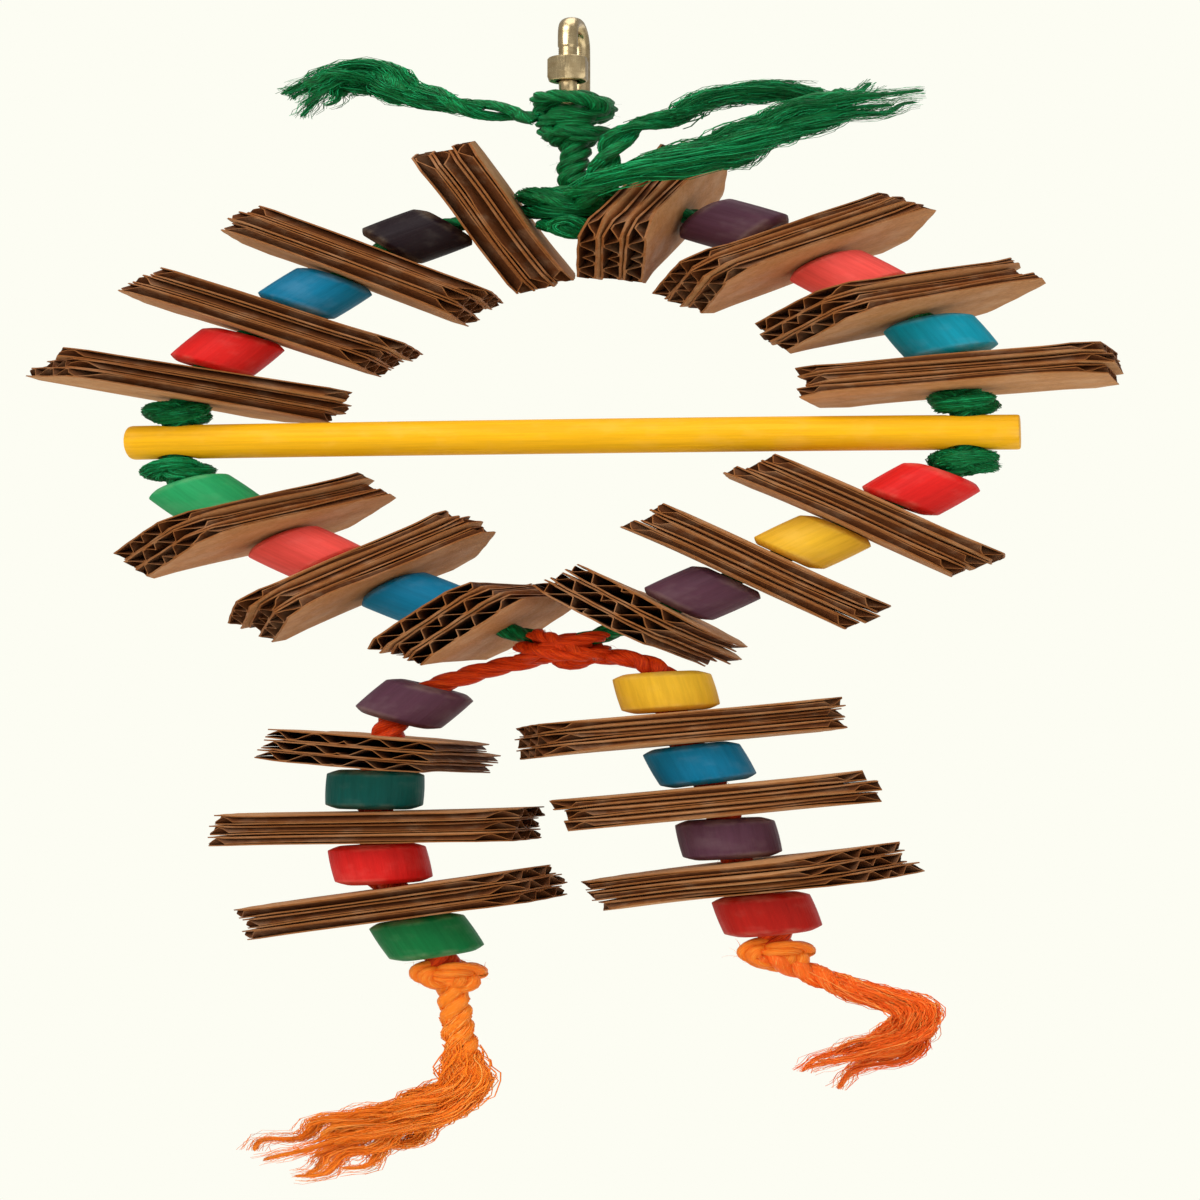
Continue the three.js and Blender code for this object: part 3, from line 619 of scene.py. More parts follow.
def give(tree, made, *finish):
    """Feeds a group's colour, roughness and height."""
    for label, value in zip(FINISH, finish):
        tree.links.new(value, made[label])


def add(tree, kind, sockets, **settings):
    """A node with its settings; sockets maps an input to a value or to the output that feeds it."""
    made = tree.nodes.new(kind)
    for key, value in settings.items():
        setattr(made, key, value)
    for key, value in sockets.items():
        if isinstance(value, bpy.types.NodeSocket):
            tree.links.new(value, made.inputs[key])
        else:
            made.inputs[key].default_value = value
    return made


def stretched_noise(tree, vector, stretch, scale, detail, rough):
    """Noise that is drawn out or squeezed along the axes."""
    scaled = add(tree, "ShaderNodeVectorMath", {0: vector, 1: stretch}, operation="MULTIPLY").outputs[0]
    sockets = {"Vector": scaled, "Scale": scale, "Detail": detail, "Roughness": rough}
    return add(tree, "ShaderNodeTexNoise", sockets).outputs["Fac"]


def span(tree, value, low, high, to_low=0.0, to_high=1.0):
    """A value carried from one range to another, and held inside it."""
    sockets = {"Value": value, "From Min": low, "From Max": high, "To Min": to_low, "To Max": to_high}
    return add(tree, "ShaderNodeMapRange", sockets).outputs[0]


def mixed(tree, factor, a, b, blend="MIX"):
    """A colour mixed from two; the numbers are the colour sockets of the mix node."""
    made = add(tree, "ShaderNodeMix", {0: factor, 6: a, 7: b}, data_type="RGBA", blend_type=blend)
    return made.outputs[2]


def times(tree, a, b, operation="MULTIPLY"):
    """Two values multiplied, or joined by another operation."""
    return add(tree, "ShaderNodeMath", {0: a, 1: b}, operation=operation).outputs[0]


def wood_group():
    """Dyed wood: grain along one axis, pores, uneven dye, and wear on the edges."""
    tree, given, made = finish_group("Dyed Wood", {
        "Dye": (COLOUR, (0.5, 0.1, 0.1, 1)), "Vector": (VECTOR, (0, 0, 0)),
        "Stretch": (VECTOR, (1, 1, 0.06)), "Wear": (VALUE, 0.0),
    })
    grain = stretched_noise(tree, given["Vector"], given["Stretch"], 900, 5, 0.65)
    pores = stretched_noise(tree, given["Vector"], given["Stretch"], 2600, 2, 0.5)
    patches = stretched_noise(tree, given["Vector"], (1, 1, 1), 170, 3, 0.55)
    dark = mixed(tree, 1.0, given["Dye"], (0.86, 0.84, 0.83, 1), "MULTIPLY")
    pale = mixed(tree, 0.04, given["Dye"], (0.9, 0.85, 0.75, 1))
    tone = mixed(tree, span(tree, grain, 0.36, 0.62), dark, given["Dye"])
    tone = mixed(tree, span(tree, patches, 0.52, 0.75, 0, 0.6), tone, pale)
    tone = mixed(tree, span(tree, pores, 0.64, 0.74, 0, 0.3), tone, dark)
    worn = times(tree, given["Wear"], span(tree, patches, 0.4, 0.65, 0, 0.14))
    tone = mixed(tree, worn, tone, (0.72, 0.56, 0.38, 1))
    rough = span(tree, grain, 0.3, 0.7, 0.58, 0.42)
    height = times(tree, grain, times(tree, pores, -0.6), "ADD")
    give(tree, made, tone, rough, height)
    return tree


def paper_group():
    """Kraft paper: fibres, mottling, dark flecks and the faint lines of the flutes beneath, as relief and
    painted shade.
    """
    tree, given, made = finish_group("Kraft Paper", {
        "Paper": (COLOUR, (0.5, 0.3, 0.15, 1)), "Vector": (VECTOR, (0, 0, 0)),
        "Flute": (VALUE, 0.0074), "Lines": (VALUE, 0.3),
    })
    fibre = stretched_noise(tree, given["Vector"], (0.45, 1, 1), 1700, 4, 0.65)
    mottle = stretched_noise(tree, given["Vector"], (1, 1, 1), 130, 4, 0.6)
    fleck = stretched_noise(tree, given["Vector"], (0.4, 1, 1), 2300, 1, 0.4)
    across = add(tree, "ShaderNodeSeparateXYZ", {0: given["Vector"]}).outputs[1]
    turn = times(tree, times(tree, across, given["Flute"], "DIVIDE"), FULL_TURN)
    wave = add(tree, "ShaderNodeMath", {0: turn}, operation="SINE").outputs[0]
    line = times(tree, times(tree, times(tree, wave, 0.5), 0.5, "ADD"), given["Lines"])
    dark = mixed(tree, 1.0, given["Paper"], (0.58, 0.52, 0.46, 1), "MULTIPLY")
    pale = mixed(tree, 0.2, given["Paper"], (0.86, 0.66, 0.42, 1))
    tone = mixed(tree, span(tree, fibre, 0.32, 0.62, 0.45, 1), dark, given["Paper"])
    tone = mixed(tree, span(tree, mottle, 0.48, 0.72, 0, 0.6), tone, pale)
    tone = mixed(tree, span(tree, fleck, 0.66, 0.74, 0, 0.45), tone, dark)
    # Painted shade: the flute lines darken the paper in stripes over the flutes
    tone = mixed(tree, times(tree, line, 0.6), tone, dark)
    rough = span(tree, mottle, 0.3, 0.7, 0.82, 0.6)
    give(tree, made, tone, rough, times(tree, fibre, line, "ADD"))
    return tree


def sisal_group():
    """Dyed sisal: fibres along the yarn, with deep and pale tones partly painted as shade and highlight."""
    tree, given, made = finish_group("Sisal", {
        "Dye": (COLOUR, (0.02, 0.2, 0.05, 1)), "Deep": (COLOUR, (0.01, 0.1, 0.02, 1)),
        "Light": (COLOUR, (0.1, 0.4, 0.2, 1)), "Yarn": (VECTOR, (0, 0, 0)),
        "Place": (VECTOR, (0, 0, 0)), "Tone": (VALUE, 0.5),
    })
    fibre = stretched_noise(tree, given["Yarn"], (2.6, 2.6, 170), 2.2, 4, 0.7)
    patch = stretched_noise(tree, given["Place"], (1, 1, 1), 300, 3, 0.6)
    # Deep colour in the streaks between fibres and in patches: partly darker fibre, partly painted shade
    tone = mixed(tree, span(tree, fibre, 0.34, 0.56), given["Deep"], given["Dye"])
    # Pale colour on the crests of the streaks: partly paler fibre, partly painted highlight
    tone = mixed(tree, span(tree, fibre, 0.54, 0.7, 0, 0.85), tone, given["Light"])
    tone = mixed(tree, span(tree, patch, 0.32, 0.5, 0.45, 0), tone, given["Deep"])
    # Fibres of high tone lean to the pale colour, partly painted highlight
    tone = mixed(tree, span(tree, given["Tone"], 0.6, 1, 0, 0.8), tone, given["Light"])
    # Fibres of low tone lean to the deep colour, partly painted shade
    tone = mixed(tree, span(tree, given["Tone"], 0, 0.35, 0.7, 0), tone, given["Deep"])
    give(tree, made, tone, span(tree, fibre, 0.3, 0.7, 0.56, 0.3), fibre)
    return tree


def metal_group():
    """Plated steel: faint drawing lines, scratches and dull patches."""
    tree, given, made = finish_group("Plated Steel", {
        "Metal": (COLOUR, (0.6, 0.55, 0.45, 1)), "Vector": (VECTOR, (0, 0, 0)),
    })
    line = stretched_noise(tree, given["Vector"], (1, 1, 0.05), 3000, 3, 0.6)
    patch = stretched_noise(tree, given["Vector"], (1, 1, 1), 420, 4, 0.6)
    dull = mixed(tree, 1.0, given["Metal"], (0.55, 0.5, 0.44, 1), "MULTIPLY")
    tone = mixed(tree, span(tree, patch, 0.45, 0.75), given["Metal"], dull)
    drawn = span(tree, line, 0.3, 0.7, -0.05, 0.07)
    rough = times(tree, span(tree, patch, 0.35, 0.75, 0.2, 0.42), drawn, "ADD")
    give(tree, made, tone, rough, line)
    return tree


def shared_group(name, maker):
    """A shared group, made when it is first asked for."""
    return bpy.data.node_groups.get(name) or maker()


def surface_material(name, group, inputs, bump, specular, metallic=0.0, attributes=()):
    """A material fed by one of the shared groups; bump is the depth of its relief in metres."""
    material = bpy.data.materials.new(name)
    material.use_nodes = True
    tree = material.node_tree
    shader = tree.nodes["Principled BSDF"]
    place = tree.nodes.new("ShaderNodeTexCoord").outputs["Object"]
    look = tree.nodes.new("ShaderNodeGroup")
    look.node_tree = group
    for key, value in inputs.items():
        look.inputs[key].default_value = value
    for key in ("Vector", "Place"):
        if key in look.inputs:
            tree.links.new(place, look.inputs[key])
    for key, attribute in attributes:
        source = add(tree, "ShaderNodeAttribute", {}, attribute_name=attribute)
        output = "Vector" if look.inputs[key].type == "VECTOR" else "Fac"
        tree.links.new(source.outputs[output], look.inputs[key])
    tree.links.new(look.outputs["Color"], shader.inputs["Base Color"])
    tree.links.new(look.outputs["Roughness"], shader.inputs["Roughness"])
    height = look.outputs["Height"]
    relief = add(tree, "ShaderNodeBump", {"Strength": 1.0, "Distance": bump, "Height": height})
    tree.links.new(relief.outputs["Normal"], shader.inputs["Normal"])
    shader.inputs["Metallic"].default_value = metallic
    shader.inputs["Specular IOR Level"].default_value = specular
    return material


def rgba(values):
    """A colour with a full fourth value, as the colour sockets take it."""
    return (*values, 1.0)


def dyed_wood(name, dye, stretch):
    """Dyed wood for beads and perch; stretch draws the grain out along one axis."""
    group = shared_group("Dyed Wood", wood_group)
    inputs = {"Dye": rgba(dye), "Stretch": stretch}
    return surface_material(name, group, inputs, bump=0.00012, specular=0.11, attributes=[("Wear", "wear")])


def sisal(name, dye, deep, light):
    """Dyed sisal for ropes and rope ends."""
    group = shared_group("Sisal", sisal_group)
    # deep brings painted shade and light brings painted highlight, each partly the fibres' own tone
    inputs = {"Dye": rgba(dye), "Deep": rgba(deep), "Light": rgba(light)}
    attributes = [("Yarn", "yarn"), ("Tone", "tone")]
    return surface_material(name, group, inputs, bump=0.0005, specular=0.17, attributes=attributes)


def board(name, paper, lines, flute):
    """Paper of the corrugated board; lines says how far the flutes show through, as relief and painted
    shade.
    """
    group = shared_group("Kraft Paper", paper_group)
    inputs = {"Paper": rgba(paper), "Lines": lines, "Flute": flute}
    return surface_material(name, group, inputs, bump=0.00016, specular=0.15)


def plated(name, metal):
    """Plated steel for the link and its nut."""
    group = shared_group("Plated Steel", metal_group)
    return surface_material(name, group, {"Metal": rgba(metal)}, bump=0.000004, specular=0.5, metallic=1.0)


# Pieces

def metres(points):
    """Points in millimetres as an array in metres."""
    return np.asarray(points, float) * MM


def place_on_rope(node):
    """The frame of a strung piece: its middle, and its axis along the rope."""
    joint = JOINTS[node + "_turn"]
    along = Vector(joint["axis"]).normalized()
    right = Vector((0, 1, 0)).cross(along).normalized()
    front = along.cross(right)
    turned = Matrix((right, front, along)).transposed().to_4x4()
    return Matrix.Translation(Vector(joint["pos_m"])) @ turned


def settle(piece, body, *nodes, slot):
    """Hands a piece to its body and lets it stand for its CAD nodes."""
    if nodes:
        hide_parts(*nodes)
    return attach(piece, body)


def dress(surface, node, body, materials, slot, sharp=None):
    """Makes the look of one CAD node from its surface and hands it to the node's body."""
    return settle(surface.object(node + "_look", materials, sharp), body, node, slot=slot)


def grid_shell(surface, top, bottom, top_slot, bottom_slot, rim_slot):
    """A closed thin sheet between two grids of points."""
    columns, rows = top.shape[:2]
    index = np.arange(columns * rows).reshape(columns, rows)
    quad = np.stack([index[:-1, :-1], index[1:, :-1], index[1:, 1:], index[:-1, 1:]], -1).reshape(-1, 4)
    edge = np.concatenate([index[:, 0], index[-1, 1:], index[-2::-1, -1], index[0, -2:0:-1]])
    after = np.roll(edge, -1)
    low = columns * rows
    rim = np.stack([edge, edge + low, after + low, after], -1)
    faces = np.concatenate([quad, quad[:, ::-1] + low, rim])
    slots = np.repeat([top_slot, bottom_slot, rim_slot], [len(quad), len(quad), len(rim)])
    surface.add(np.concatenate([top.reshape(-1, 3), bottom.reshape(-1, 3)]), faces, slots)


def wander(rng, x, reach, low, high):
    """A smooth random curve between two values."""
    turn = FULL_TURN * x / reach
    total = sum(np.sin(turn * rng.uniform(0.6, 2.2) + rng.uniform(0, 6.3)) for _ in range(4))
    return low + (high - low) * (0.5 + 0.5 * np.tanh(total / 1.6))


def edge_pinch(rng, x):
    """How far a liner is drawn in along one cut edge: far on most of its length, less on some stretches."""
    return wander(rng, x, 90 * MM, 0.3, 0.78) * rng.uniform(0.75, 1)


def card_layer(surface, sizes, rng, bow, lift, opened, placing):
    """One piece of corrugated board: two liners drawn together at the cut edges, and fluted paper between.
    The piece is bowed, and each of its ends bends by its own lift; opened flutes keep the liners apart."""
    long, wide, corner = sizes.card_long, sizes.card_wide, sizes.card_corner
    ends = long / 2 - corner * np.linspace(0, 1, 5)
    x = np.sort(np.concatenate([-ends, np.linspace(-ends[-1], ends[-1], 17)[1:-1], ends]))
    nipped = np.clip(np.abs(x) - ends[-1], 0, corner)
    half = wide / 2 - nipped + wander(rng, x, 60 * MM, -0.3 * MM, 0.2 * MM)
    room = sizes.layer * BOARD_HALF - sizes.liner / 2
    # Near the nipped corners the liners stay further apart
    shut = (1 - 0.9 * opened) * np.clip((long / 2 - np.abs(x)) / (2.2 * corner), 0.05, 1)
    pinch = {side: [(edge_pinch(rng, x) * shut)[:, None] for _ in range(2)] for side in (1, -1)}
    turned = np.array(placing.to_3x3()).T
    shift = np.array(placing.translation)

    def height(side, y):
        edge = np.clip((np.abs(y) - half[:, None] + CARD_RIM) / CARD_RIM, 0, 1) ** 2
        closing = np.where(y < 0, *pinch[side])
        swell = CARD_SWELL * (1 - (y / half[:, None]) ** 2)
        return side * (room * (1 - edge * closing) + swell)

    def sheet(y, z, thick, top_slot, bottom_slot):
        bend = np.clip(np.abs(x) / (0.5 * long) * 1.8 - 0.8, 0, 1) ** 2 * np.where(x < 0, *lift)
        warp = (bow * MM * np.cos(2.2 * x / long * math.pi + bow * 9) + bend)[:, None]
        grid = np.stack([np.broadcast_to(x[:, None], y.shape), y, z + warp], -1) @ turned + shift
        half_sheet = np.array([0, 0, thick / 2])
        # Rims take the cut edge colour, which is partly painted shade
        grid_shell(surface, grid + half_sheet, grid - half_sheet, top_slot, bottom_slot, 1)

    y = np.sin(np.linspace(-1, 1, 17) * math.pi / 2)[None, :] * half[:, None]
    ribs = CARD_RIBS * np.cos(FULL_TURN * y / sizes.flute)
    # The liners' inner faces take the dark fluted paper colour: painted shade inside the board
    sheet(y, height(1, y) + ribs, sizes.liner, 0, 2)
    sheet(y, height(-1, y) + ribs, sizes.liner, 2, 0)
    count = int(wide / sizes.flute * 20) + 1
    inner = half[:, None] - FLUTES_BACK
    y = np.clip(np.linspace(-wide / 2, wide / 2, count)[None, :], -inner, inner)
    # Along the cut the fluted paper slants from one liner to the other, and the flutes start behind that
    wall = np.where(y < 0, *rng.uniform(0.8, 1.3, 2)) * (1 + 2 * opened) * MM
    past = wide / 2 - np.abs(y) - wall
    flutes = np.clip(np.arcsin(0.99 * np.cos(FULL_TURN * past / sizes.flute)), -1, 1)
    ridge = rng.choice([-1, 1]) * np.where(past < 0, np.clip(1 + 2 * past / wall, -1, 1), flutes)
    top = height(1, y) - sizes.liner / 2
    foot = height(-1, y) + sizes.liner / 2
    play = (top - foot - FLUTED_PAPER) / 2
    # The fluted paper's dark colour is partly painted shade
    sheet(y, (top + foot) / 2 + ridge * play, FLUTED_PAPER, 2, 2)


def card_stack(node, turn, fan, place, opened, sizes, materials, rng):
    """A stack of three layers, scattered as in the CAD."""
    surface = Surface()
    bow = rng.uniform(-0.25, 0.25)
    scatter = 0.9 * MM
    for layer in range(3):
        phase = 2.4 * place + 2.1 * layer
        swing = math.radians(2.5 * math.sin(phase) + fan * (1 - layer))
        height = (layer - 1) * sizes.layer
        middle = (scatter * math.cos(phase), scatter * math.sin(1.7 * phase), height)
        lift = (layer - 1) * rng.uniform(0, 0.35 * MM, 2)
        placing = Matrix.Translation(middle) @ Matrix.Rotation(swing, 4, "Z")
        card_layer(surface, sizes, rng, bow, lift, opened, placing)
    piece = surface.object(node + "_look", materials, 38)
    piece.matrix_world = place_on_rope(node) @ Matrix.Rotation(math.radians(turn), 4, "Z")
    return piece


def bead_surface(sizes, rng):
    """A barrel bead with bevelled edges and an open bore."""
    end, side, bore = sizes.bead_height / 2, sizes.bead / 2, sizes.bore / 2
    inset, drop, ease = 1.9 * MM, 1.4 * MM, 0.3 * MM
    lip, crown, belly = 0.4 * MM, 0.05 * MM, 0.12 * MM
    face = [(bore, end * 0.5), (bore, end - lip), (bore + lip, end), ((bore + side) / 2, end + crown)]
    edge = [
        (side - inset - ease, end), (side - inset, end - 0.3 * ease),
        (side - 0.5 * inset, end - 0.5 * drop),
        (side - 0.3 * ease, end - drop), (side, end - drop - ease),
    ]
    wall = []
    for share in np.linspace(0.8, -0.8, 7):
        wall.append((side + belly * math.cos(share * math.pi / 2), share * (end - drop)))
    foot = [(r, -z) for r, z in reversed(face + edge)]
    profile = np.array(face + edge + wall + foot)
    face_wear, edge_wear, wall_wear = [0, 0, 0, 0.2], [0.8, 1, 0.7, 1, 0.7], [0.05] * len(wall)
    wear = np.array(face_wear + edge_wear + wall_wear + edge_wear[::-1] + face_wear[::-1])
    sides = 40
    angle = round_angles(sides)
    round_off = 1 + 0.006 * np.sin(2 * angle + rng.uniform(0, 6))
    round_off += 0.003 * np.sin(5 * angle + rng.uniform(0, 6))
    tilt = 0.012 * np.sin(angle + rng.uniform(0, 6))
    radius = profile[:, :1] * round_off[None, :]
    z = profile[:, 1:] + tilt[None, :] * profile[:, :1] * np.sign(profile[:, 1:])
    points = np.stack([radius * np.cos(angle), radius * np.sin(angle), z], -1)
    made = Surface()
    made.add(points, ring_faces(len(profile), sides, True)[:, ::-1], 0, wear=np.repeat(wear, sides))
    return made


def bead(node, sizes, material, rng):
    """A bead in its place on the rope, turned at random about its bore."""
    piece = bead_surface(sizes, rng).object(node + "_look", [material], 50)
    piece.matrix_world = place_on_rope(node) @ Matrix.Rotation(rng.uniform(0, 6.28), 4, "Z")
    return piece


def strung_points(nodes, sizes):
    """The rope's way through strung pieces: the two ends of each piece, in order."""
    points = []
    for node in nodes:
        place = place_on_rope(node)
        half = sizes.bead_height / 2 if "_bead_" in node else 1.5 * sizes.layer
        points += [place @ Vector((0, 0, -half)), place @ Vector((0, 0, half))]
    return [tuple(point) for point in points]


def strung_nodes(prefix):
    """The nodes on one string from its start."""
    beads = [f"{prefix}_bead_{i + 1}" for i in range(len(BEAD_DYES[prefix]))]
    stacks = [f"{prefix}_stack_{i + 1}" for i in range(len(STACK_TURNS[prefix]))]
    first, second = (stacks, beads) if prefix.startswith("upper") else (beads, stacks)
    order = []
    for i in range(max(len(first), len(second))):
        order += first[i:i + 1] + second[i:i + 1]
    return order


class ToyStep:
    """What the toy's operators share"""

    bl_options = {"REGISTER", "UNDO"}

    @property
    def sizes(self):
        """The sizes set in the panel."""
        return bpy.context.scene.toy_sizes

    @property
    def colours(self):
        """The colours set in the panel."""
        return bpy.context.scene.toy_colours


class TOY_OT_link(ToyStep, bpy.types.Operator):
    """Add the quick link and its sleeve nut"""

    bl_idname = "shredtoy.link"
    bl_label = "Link"

    def execute(self, context):
        sizes = self.sizes
        steel = plated("link steel", self.colours.steel)
        reach, radius = sizes.link_reach, sizes.wire / 2
        top, foot = -reach + radius, -24 * MM
        gap_top, gap_foot = -16.5 * MM, -21.5 * MM
        thread_long, thread_pitch, thread_deep, thread_cut = 6 * MM, 0.8 * MM, 0.13 * MM, 0.16 * MM
        line = [(0, -reach, gap_foot)]
        for middle, start in ((foot, math.pi), (top, 0)):
            for i in range(13):
                angle = start + math.pi * i / 12
                line.append((0, reach * math.cos(angle), middle + reach * math.sin(angle)))
        line.append((0, -reach, gap_top))
        line = smooth_line(line, 0.4 * MM)
        run = run_of(line)
        from_end = np.minimum(run, run[-1] - run)
        groove = thread_deep * np.sin(run * FULL_TURN / thread_pitch) - thread_cut
        thread = np.where(from_end < thread_long, groove, 0)
        wire = Surface()
        tube(wire, line, radius + thread, 20)
        dress(wire, "quick_link", "link", [steel], "link_steel")
        self.add_nut(sizes, steel)
        return {"FINISHED"}

    def add_nut(self, sizes, steel):
        """The hexagonal sleeve nut, with its corners turned down at both ends."""
        outline = metres([(2.1, 4.5), (3.1, 4.5), (3.3, 4.3), (3.75, 3.4)])
        profile = np.concatenate([outline, outline[::-1] * (1, -1)])
        side, middle, sides = outline[-1][0], -19 * MM, 48
        angle = round_angles(sides)
        flat = math.cos(math.pi / 6) / np.cos((angle + math.pi / 6) % (math.pi / 3) - math.pi / 6)
        hexed = np.minimum(profile[:, :1], side * flat[None, :] * np.ones_like(profile[:, :1]))
        points = np.stack([
            hexed * np.cos(angle), hexed * np.sin(angle) - sizes.link_reach,
            np.broadcast_to(profile[:, 1:], hexed.shape) + middle,
        ], -1)
        nut = Surface()
        nut.add(points, ring_faces(len(profile), sides, True)[:, ::-1], 0)
        dress(nut, "link_sleeve_nut", "sleeve_nut", [steel], "nut_steel", 28)


class TOY_OT_ropes(ToyStep, bpy.types.Operator):
    """Add the knots and the rope that runs through the pieces"""

    bl_idname = "shredtoy.ropes"
    bl_label = "Ropes and knots"

    def execute(self, context):
        rng = np.random.default_rng(SEEDS["ropes"])
        colours = self.colours
        green = sisal("green sisal", colours.green_rope, colours.green_deep_and_shade, colours.green_pale_and_highlight)
        orange = sisal("orange sisal", colours.orange_rope, colours.orange_deep_and_shade, colours.orange_pale_and_highlight)
        bright = sisal("orange knot", colours.end_rope, colours.end_deep_and_shade, colours.end_pale_and_highlight)
        self.add_hanger(green, rng)
        self.add_top_knot(green, rng)
        for side, hole in (("left", LEFT_HOLE), ("right", RIGHT_HOLE)):
            self.add_ring_side(side, hole, green, rng)
        self.add_join(orange, rng)
        self.add_strand("left_strand", LEFT_LEAD, LEFT_END, [orange, bright], rng)
        self.add_strand("right_strand", RIGHT_LEAD, RIGHT_END, [orange, bright], rng)
        return {"FINISHED"}

    def add_hanger(self, green, rng):
        """The loop and knot on the link, and the twisted neck below them."""
        rope_size = self.sizes.rope
        made = Surface()
        angle = round_angles(90)
        loop = np.stack([np.cos(angle) * 4.7, 0.9 * np.sin(2 * angle), np.sin(angle) * 4.6], -1) * MM
        lines = rope(made, loop + metres(LOOP_MIDDLE), rope_size, rng, 3, 2.6, True)
        hitch = metres(HITCH_MIDDLE) + metres((0, -0.5, -1))
        lines += knot(made, hitch, metres((11.5, 11, 9)), 4.6 * MM, rng)
        core(made, metres((0, -3, -35)), metres((9, 7, 10)))
        for points in HANGER_WRAPS:
            lines += rope(made, smooth_line(metres(points), 0.7 * MM), 4.4 * MM, rng, 3, 2.8)
        fuzz(made, lines, rope_size, rng, 0.5, FUZZ_LENGTH)
        dress(made, "hanger_knot", "hanger", [green], "green_rope")
        neck = Surface()
        lines = rope(neck, smooth_line(metres(NECK), 0.6 * MM), rope_size, rng, 3, 2.4)
        fuzz(neck, lines, rope_size, rng, 0.5, FUZZ_LENGTH)
        dress(neck, "neck_rope", "neck", [green], "green_rope")

    def add_top_knot(self, green, rng):
        """The large knot at the top of the ring, with combed bundles over it."""
        made = Surface()
        middle = metres(TOP_KNOT)
        turn = (0.3, 0, 0.4)
        lines = knot(made, middle + metres((0, 0.5, 4)), metres((13.5, 13, 12)), 5 * MM, rng, turn)
        core(made, middle + metres((0, -1, 3)), metres((13, 14, 11)))
        core(made, middle + metres((0, -1, -6)), metres((8, 12, 11)))
        for thick, points in TOP_KNOT_BUNDLES:
            line = smooth_line(metres(points) + middle, 0.7 * MM)
            strand(made, line, thick * MM, rng, BUNDLE_FIBRES, BUNDLE_TURN)
        fuzz(made, lines, self.sizes.rope, rng, 0.5, 4 * MM)
        dress(made, "ring_top_knot", "ring", [green], "green_rope")

    def add_ring_side(self, side, hole, green, rng):
        """The rope on one side of the ring, with a knot above and below the perch."""
        upper = strung_points(strung_nodes("upper_" + side), self.sizes)
        lower = strung_points(strung_nodes("lower_" + side), self.sizes)
        drops = [tuple(metres(hole) + metres((0, 0, way * PERCH_KNOT_DROP))) for way in (1, -1)]
        joined = tuple(metres(JOIN) + metres((0.5 if side == "right" else -0.5, 1, 2)))
        made = Surface()
        line = smooth_line([tuple(metres(TOP_KNOT)), *upper, *drops, *lower, joined], 1.6 * MM)
        rope(made, line, self.sizes.rope, rng)
        for way in (1, -1):
            middle = metres(hole) + metres((0, 0, way * (PERCH_KNOT_DROP + 0.2)))
            turn = (0.25 * way, 0.2, rng.uniform(0, 6))
            knot(made, middle, metres((13, 13, 10)), 5 * MM, rng, turn, hair=0.8, combed=True)
        dress(made, "ring_rope_" + side, "ring", [green], "green_rope")

    def add_join(self, orange, rng):
        """The orange knot round the bottom of the ring."""
        made = Surface()
        middle = metres(JOIN)
        lines = knot(made, middle, metres((13, 13, 14)), 5 * MM, rng, (0.5, 0.3, 0.2))
        for points in JOIN_WRAPS:
            lines += rope(made, smooth_line(metres(points) + middle, 0.7 * MM), 4.2 * MM, rng)
        fuzz(made, lines, self.sizes.rope, rng, 0.4, FUZZ_LENGTH)
        dress(made, "join_knot", "ring", [orange], "orange_rope")

    def add_strand(self, prefix, lead, end, materials, rng):
        """One hanging strand with the knot at its end."""
        made = Surface()
        passing = strung_points(strung_nodes(prefix), self.sizes)
        points = [*map(tuple, metres(lead)), *passing, tuple(metres(end))]
        lines = rope(made, smooth_line(points, 1.0 * MM), self.sizes.rope * 1.06, rng, 3, 2.8)
        fuzz(made, lines, self.sizes.rope, rng, 0.3, FUZZ_LENGTH)
        turn = (math.pi / 2 + 0.3, 0.2, 0.4)
        knot(made, metres(end), metres((13, 12, 13)), 5.2 * MM, rng, turn, slot=1, hair=0.5)
        dress(made, prefix + "_rope", prefix, materials, "orange_rope")


class TOY_OT_tails(ToyStep, bpy.types.Operator):
    """Add the free rope ends with their frayed brushes"""

    bl_idname = "shredtoy.tails"
    bl_label = "Rope ends"

    def execute(self, context):
        rng = np.random.default_rng(SEEDS["tails"])
        colours = self.colours
        green = sisal("green rope end", colours.green_rope, colours.green_deep_and_shade, colours.green_pale_and_highlight)
        light = colours.end_pale_and_highlight
        ends = {
            "left_strand_tail": sisal("orange rope end", colours.end_rope, colours.end_rope, light),
            "right_strand_tail": sisal("red rope end", colours.orange_pale_and_highlight, colours.end_deep_and_shade, light),
        }
        for node, (knot_middle, body, points) in TAILS.items():
            route = metres(points) + metres(knot_middle)
            self.add_tail(node, body, route, ends.get(node, green), rng)
        return {"FINISHED"}

    def add_tail(self, node, body, points, material, rng):
        """One free end: its plies, and the locks of fibre into which they open."""
        size = self.sizes.tail
        look = dict(zip(FRAY_WORDS, FRAYS[node]))
        thick = size * look["size"]
        line = smooth_line(points, 0.8 * MM)
        run = run_of(line)
        share = run / run[-1]
        core_rope = Surface()
        spread = 1 + look["loose"] * np.sin(share * math.pi * 0.6)
        lay = 3.0 if look["plies"] == 3 else 4.2
        lines = rope(core_rope, line, thick, rng, look["plies"], lay, spread=spread, bumps=0.1)
        piece = core_rope.object(node + "_look", [material])
        brush = Surface()
        for ply in lines:
            strand(brush, ply, 0.3 * thick, rng, PLY_FIBRES, PLY_TURN)
        for guide in lock_guides(line, rng, look):
            lock = smooth_line(guide, 0.9 * MM)
            strand(brush, lock, look["thick"] * MM, rng, look["count"], LOCK_TURN, 0.9, 0.4 * MM)
        strands = brush.object(node + "_fray", [material])
        slot = "orange_rope_end" if "strand" in node else "green_rope"
        settle(piece, body, node, slot=slot)
        settle(strands, body, slot=slot)


